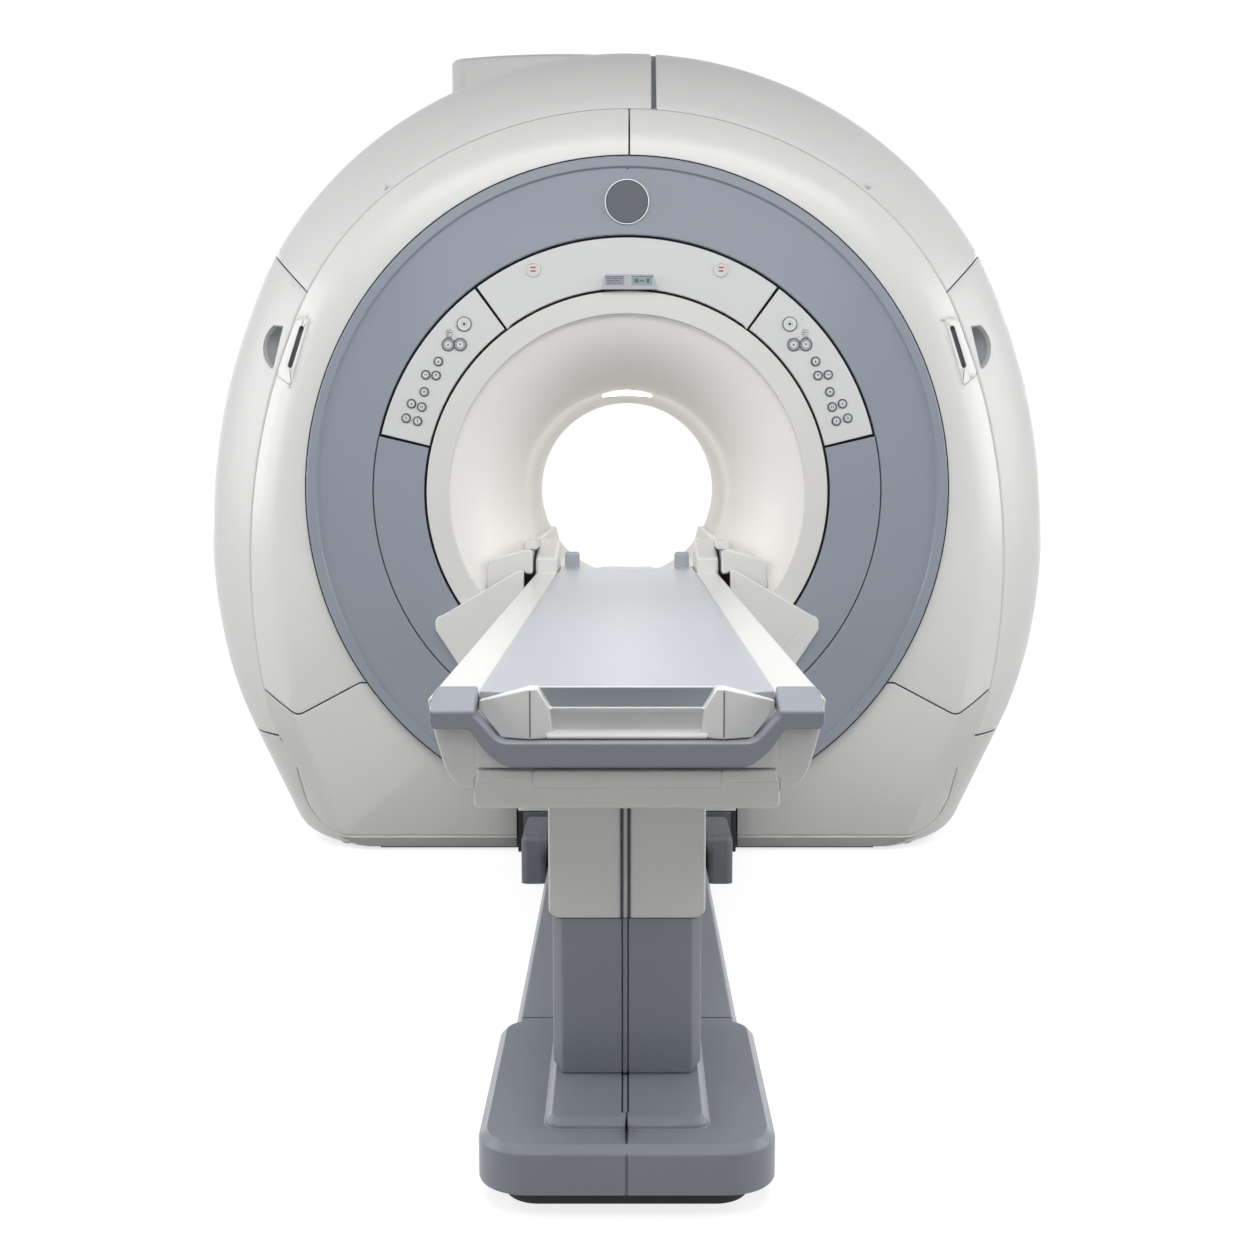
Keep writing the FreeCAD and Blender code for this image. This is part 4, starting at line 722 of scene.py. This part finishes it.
# the dock: dark block with a black strip at each end
dock = {"strip": 0.2905, "edge": 0.004}
dressNode("dock_surround", dock["edge"])
dressNode("dock_block", 0.0, [("blackFoamAndGapShade", lambda centre, normal: abs(centre.x) > dock["strip"])],
          cuts=[((sign * dock["strip"], 0, 0), (1, 0, 0)) for sign in (-1, 1)])
for node in ("left_bore_rail", "right_bore_rail"):
    dressNode(node, edge=0.005, sides=3)
print("display and dock ready")

# the table
dressNode("table_frame", edge=0.003)
# the tops of the bumper's corner blocks are set back, and its band is rounded at its lower corners
footBumper = {"setBack": 0.026, "blockTop": 0.78, "blockFront": -3.005, "round": 0.009, "edge": 0.0035,
              "bandDepth": 0.03, "bandTop": 0.74, "bandInner": 0.14}


def onBandCorner(first, second):
    return (abs(first.y - second.y) > footBumper["bandDepth"] and abs(first.x) > footBumper["bandInner"]
            and max(first.z, second.z) < footBumper["bandTop"])


dressNode("end_bumper", footBumper["edge"], sides=3, shifts=[
    (lambda point: point.z > footBumper["blockTop"] and point.y < footBumper["blockFront"],
     {"move": (0, footBumper["setBack"], 0)})], rounds=[(footBumper["round"], 4, onBandCorner)])
# the grip recess in the foot cap: its upper wall is grey like the bumper, its lower wall pale
footCap = {"edge": 0.002, "wallTop": 0.768, "wallReach": 0.112, "wallFront": -3.012, "floorLow": 0.738,
           "floorHigh": 0.766, "floorReach": 0.099, "floorFront": -3.02}
# two thin grey marks on the foot cap: painted shade along its creases
capCrease = {"across": 0.122, "low": 0.734, "high": 0.7925, "front": -3.0382, "width": 0.0016}
creases = []
for sign in (-1, 1):
    crease = frontMark((sign * capCrease["across"], (capCrease["low"] + capCrease["high"]) / 2),
                       capCrease["front"], (capCrease["width"], capCrease["high"] - capCrease["low"]))
    creases.append(paint(crease, finish["jointGreyAndGrooveShade"]))
dressNode("foot_end_cap", footCap["edge"], extras=creases, inlays=[
    ("bumperFoam", lambda centre, normal: facesTable(normal) and centre.z > footCap["wallTop"]
     and abs(centre.x) < footCap["wallReach"] and centre.y > footCap["wallFront"]),
    ("displayGrey", lambda centre, normal: facesTable(normal)
     and footCap["floorLow"] < centre.z < footCap["floorHigh"]
     and abs(centre.x) < footCap["floorReach"] and centre.y > footCap["floorFront"])])
dressNode("cradle", edge=0.0025, sides=3)
# small white fillers: a lug under each end of the bumper band, a lip in the pan's slot, and a gusset
# beside the neck of each bore rail
fillerEdge = 0.002
fillers = {
    # name: (left, right, bottom, top, front, deep, a node on the same body)
    "left_pan_lug": (-0.1935, -0.15, 0.69, 0.765, -3.013, 0.02, "table_frame"),
    "right_pan_lug": (0.15, 0.1935, 0.69, 0.765, -3.013, 0.02, "table_frame"),
    "pan_slot_lip": (-0.1205, 0.1205, 0.664, 0.6862, -3.0135, 0.03, "table_frame"),
    "left_rail_gusset": (-0.284, -0.25, 0.848, 0.8695, -0.70, 0.14, "left_bore_rail"),
    "right_rail_gusset": (0.25, 0.284, 0.848, 0.8695, -0.70, 0.14, "left_bore_rail"),
}
for name, (left, right, bottom, top, front, deep, owner) in fillers.items():
    piece = frontMark(((left + right) / 2, (bottom + top) / 2), front + deep,
                      (right - left, top - bottom), thick=deep)
    applyModifier(piece, "BEVEL", {"width": fillerEdge, "segments": 2})
    finishPiece(piece, name, bodyOf[owner], finish["skinFoamWhite"])
# the groove down the sleeve's front is painted dark grey: painted shade in the groove
sleeve = {"edge": 0.004, "grooveLow": (-0.0095, -2.6199, 0.3), "grooveHigh": (0.0045, -2.618, 0.7)}
dressNode("upper_sleeve", sleeve["edge"], [
    ("jointGreyAndGrooveShade", lambda centre, normal: all(
        sleeve["grooveLow"][axis] <= centre[axis] <= sleeve["grooveHigh"][axis] for axis in range(3)))])
# a grey cover strip lies in the groove of the column and of the base's collar, between two dark gaps
grooveStrip = {"middle": -0.00275, "width": 0.0062, "depth": 0.008, "sunk": 0.0012, "endGap": 0.002,
               "collarBack": -2.6146, "collarLength": 0.1405, "collarLow": 0.1105, "collarTop": 0.1203}
low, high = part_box("lower_column")
columnStrip = frontMark((grooveStrip["middle"], (low.z + high.z) / 2), low.y + grooveStrip["depth"],
                        (grooveStrip["width"], high.z - low.z - grooveStrip["endGap"]),
                        thick=grooveStrip["depth"] - grooveStrip["sunk"])
dressNode("lower_column", edge=0.003, extras=[paint(columnStrip, finish["powderGrey"])])
collarMiddle = (grooveStrip["collarLow"] + grooveStrip["collarTop"]) / 2
collarStrip = frontMark((grooveStrip["middle"], collarMiddle), grooveStrip["collarBack"],
                        (grooveStrip["width"], grooveStrip["collarTop"] - grooveStrip["collarLow"]),
                        thick=grooveStrip["collarLength"])


def fitPlan(plan, low, high):
    # the shift that brings a whole piece to the plan's front, back and half width
    grow = (plan["halfWidth"] / high.x, (plan["back"] - plan["front"]) / (high.y - low.y), 1)
    return (lambda point: True,
            {"grow": grow, "about": (0, low.y, 0), "move": (0, plan["front"] - low.y, 0)})


# the base: its cover is drawn in a little, its lower edge and its rim are set to their heights, and the
# walls of the collar's groove are painted black as painted shade in the groove
base = {"front": -2.840, "back": -2.326, "halfWidth": 0.219, "bottom": 0.032, "top": 0.105, "edge": 0.002,
        "lowest": 0.01, "rimLow": 0.09, "rimHigh": 0.1085, "oldRim": 0.108,
        "grooveWalls": (-0.0081, 0.0026), "wallNear": 0.001}
low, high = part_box("base_cover")


def onGrooveWall(centre, normal):
    away = min(abs(centre.x - wall) for wall in base["grooveWalls"])
    return abs(normal.x) > facing and away < base["wallNear"] and centre.z > base["top"]


dressNode("base_cover", base["edge"], shifts=[
    fitPlan(base, low, high),
    (lambda point: point.z < low.z + base["lowest"], {"move": (0, 0, base["bottom"] - low.z)}),
    (lambda point: base["rimLow"] < point.z < base["rimHigh"],
     {"move": (0, 0, base["top"] - base["oldRim"])})],
    inlays=[("blackFoamAndGapShade", onGrooveWall)], extras=[paint(collarStrip, finish["powderGrey"])])
# the plinth under the base stands well back
plinth = {"front": -2.802, "back": -2.364, "halfWidth": 0.181, "edge": 0.003, "topNear": 0.001,
          "topGap": 0.0003}
low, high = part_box("base_plinth")
dressNode("base_plinth", plinth["edge"], [("rubberBlack", everyFace)], shifts=[
    fitPlan(plinth, low, high),
    (lambda point: point.z > high.z - plinth["topNear"],
     {"move": (0, 0, base["bottom"] - plinth["topGap"] - high.z)})])
# a dark seam crosses the arm just behind the base
armSeam = {"front": -2.311, "width": 0.004, "upward": 0.5}
dressNode("dock_arm", edge=0.005, inlays=[
    ("blackFoamAndGapShade", lambda centre, normal: 0 < centre.y - armSeam["front"] < armSeam["width"]
     and normal.z > armSeam["upward"])],
    cuts=[((0, armSeam["front"] + step, 0), (0, 1, 0)) for step in (0, armSeam["width"])])

# the dock's two feet are short blocks beside the arm, with a bar across under it
footBlock = {"front": -1.073, "height": 0.127, "halfWidth": 0.2743, "inner": 0.2083, "barShift": 0.16,
             "barFront": -1.03, "barTop": 0.031, "near": 0.03, "innerNear": 0.001}
low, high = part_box("dock_foot")
dressNode("dock_foot", 0.0, [("framePaint", everyFace)], shifts=[
    (lambda point: point.y < low.y + footBlock["near"], {"move": (0, footBlock["front"] - low.y, 0)}),
    (lambda point: abs(point.x) < footBlock["inner"] and point.y < footBlock["barFront"]
     and point.z < footBlock["barTop"], {"move": (0, footBlock["barShift"], 0)}),
    (lambda point: point.z > high.z - footBlock["near"]
     and abs(point.x) > footBlock["inner"] - footBlock["innerNear"],
     {"move": (0, 0, footBlock["height"] - high.z)}),
    (lambda point: point.x > high.x - footBlock["near"],
     {"move": (footBlock["halfWidth"] - high.x, 0, 0)}),
    (lambda point: point.x < low.x + footBlock["near"],
     {"move": (-footBlock["halfWidth"] - low.x, 0, 0)})])
print("table ready")

# the camera stands at the foot of the table, a little above the cradle, tilted slightly down
photoCamera = {"place": (0.0, -4.928, 1.07), "pitch": -5.93, "lens": 43.69, "sensor": 36.0}
cameraData = bpy.data.cameras.new("photoCamera")
cameraData.lens = photoCamera["lens"]
cameraData.sensor_width = photoCamera["sensor"]
camera = bpy.data.objects.new("photoCamera", cameraData)
camera.location = photoCamera["place"]
camera.rotation_euler = (math.radians(90 + photoCamera["pitch"]), 0, 0)
bpy.context.scene.collection.objects.link(camera)
bpy.context.scene.camera = camera

# a pale floor that the camera sees as nearly white, with the object's shadow left on it
studio = {"floorSize": 60.0, "floorDrop": 0.0005, "floorColour": "#A8A8A7", "floorRoughness": 0.7,
          "nearGlow": 0.76, "farGlow": 0.95, "near": 2.5, "far": 9.0, "ambient": 0.08}
bpy.ops.object.select_all(action="DESELECT")
bpy.ops.mesh.primitive_plane_add(size=studio["floorSize"], location=(0, 0, -studio["floorDrop"]))
floor = bpy.context.object
floor.name = "studioFloor"
floorMaterial, floorTree, floorShader = newMaterial("paleFloor")
floorShader.inputs["Base Color"].default_value = linearColour(studio["floorColour"])
floorShader.inputs["Roughness"].default_value = studio["floorRoughness"]


def seenOnly(tree):
    # a node that gives 1 to what the camera, mirrors and glass see of the surroundings, and 0 to what
    # lights the object
    ray = addNode(tree, "ShaderNodeLightPath")
    seen = ray.outputs["Is Camera Ray"]
    for kind in ("Is Glossy Ray", "Is Transmission Ray"):
        either = addNode(tree, "ShaderNodeMath", {"operation": "MAXIMUM"})
        tree.links.new(seen, either.inputs[0])
        tree.links.new(ray.outputs[kind], either.inputs[1])
        seen = either.outputs[0]
    return seen.node


floorPlace = addNode(floorTree, "ShaderNodeTexCoord")
away = addNode(floorTree, "ShaderNodeVectorMath", {"operation": "LENGTH"},
               {"Vector": (floorPlace, "Object")})
glowRise = addNode(floorTree, "ShaderNodeMapRange", {
    "From Min": studio["near"], "From Max": studio["far"], "To Min": studio["nearGlow"],
    "To Max": studio["farGlow"]}, {"Value": (away, "Value")})
glowStrength = addNode(floorTree, "ShaderNodeMath", {"operation": "MULTIPLY"})
floorTree.links.new(glowRise.outputs["Result"], glowStrength.inputs[0])
floorTree.links.new(seenOnly(floorTree).outputs[0], glowStrength.inputs[1])
glow = addNode(floorTree, "ShaderNodeEmission", {"Color": (1, 1, 1, 1)},
               {"Strength": (glowStrength, "Value")})
both = addNode(floorTree, "ShaderNodeAddShader")
floorTree.links.new(floorShader.outputs[0], both.inputs[0])
floorTree.links.new(glow.outputs[0], both.inputs[1])
floorTree.links.new(both.outputs[0], floorTree.nodes["Material Output"].inputs["Surface"])
paint(floor, floorMaterial)

world = bpy.data.worlds.new("studioWorld")
world.use_nodes = True
bpy.context.scene.world = world
worldTree = world.node_tree
backdrop = worldTree.nodes["Background"]
backdrop.inputs["Color"].default_value = (1, 1, 1, 1)
worldStrength = addNode(worldTree, "ShaderNodeMapRange", {"To Min": studio["ambient"], "To Max": 1.0},
                        {"Value": (seenOnly(worldTree), 0)})
worldTree.links.new(worldStrength.outputs["Result"], backdrop.inputs["Strength"])

softBoxes = [
    # name, place, aim, size, watts
    ("overTable", (0, -3.0, 2.75), (0, -3.0, 0), (3.0, 2.2), 60),
    ("frontHigh", (0, -5.2, 4.2), (0, -0.7, 1.4), (4.0, 2.0), 20),
    ("nearFill", (0, -6.0, 2.0), (0, -3.0, 0.8), (2.6, 1.2), 18),
    ("leftStrip", (-4.2, -3.2, 2.2), (-0.6, -1.4, 1.3), (1.1, 2.6), 32),
    ("rightStrip", (4.2, -3.2, 2.2), (0.6, -1.4, 1.3), (1.1, 2.6), 29),
    ("leftWing", (-4.8, -1.6, 2.3), (-1, -0.3, 1.3), (1.8, 2.6), 64),
    ("rightWing", (4.8, -1.6, 2.3), (1, -0.3, 1.3), (1.8, 2.6), 64),
    ("rearBox", (0, 5.5, 3.6), (0, 0, 1.1), (4.0, 2.0), 48),
    ("leftRear", (-4.2, 4.4, 1.9), (0, 0.5, 1.0), (1.8, 2.4), 70),
    ("rightRear", (4.2, 4.4, 1.9), (0, 0.5, 1.0), (1.8, 2.4), 70),
]
for name, place, aim, size, watts in softBoxes:
    light = bpy.data.lights.new(name, "AREA")
    light.shape = "RECTANGLE"
    light.size, light.size_y = size
    light.energy = watts
    lamp = bpy.data.objects.new(name, light)
    lamp.location = place
    lamp.rotation_euler = (Vector(aim) - Vector(place)).to_track_quat("-Z", "Y").to_euler()
    bpy.context.scene.collection.objects.link(lamp)
bpy.context.scene.view_settings.view_transform = "Standard"
print("camera and studio ready")
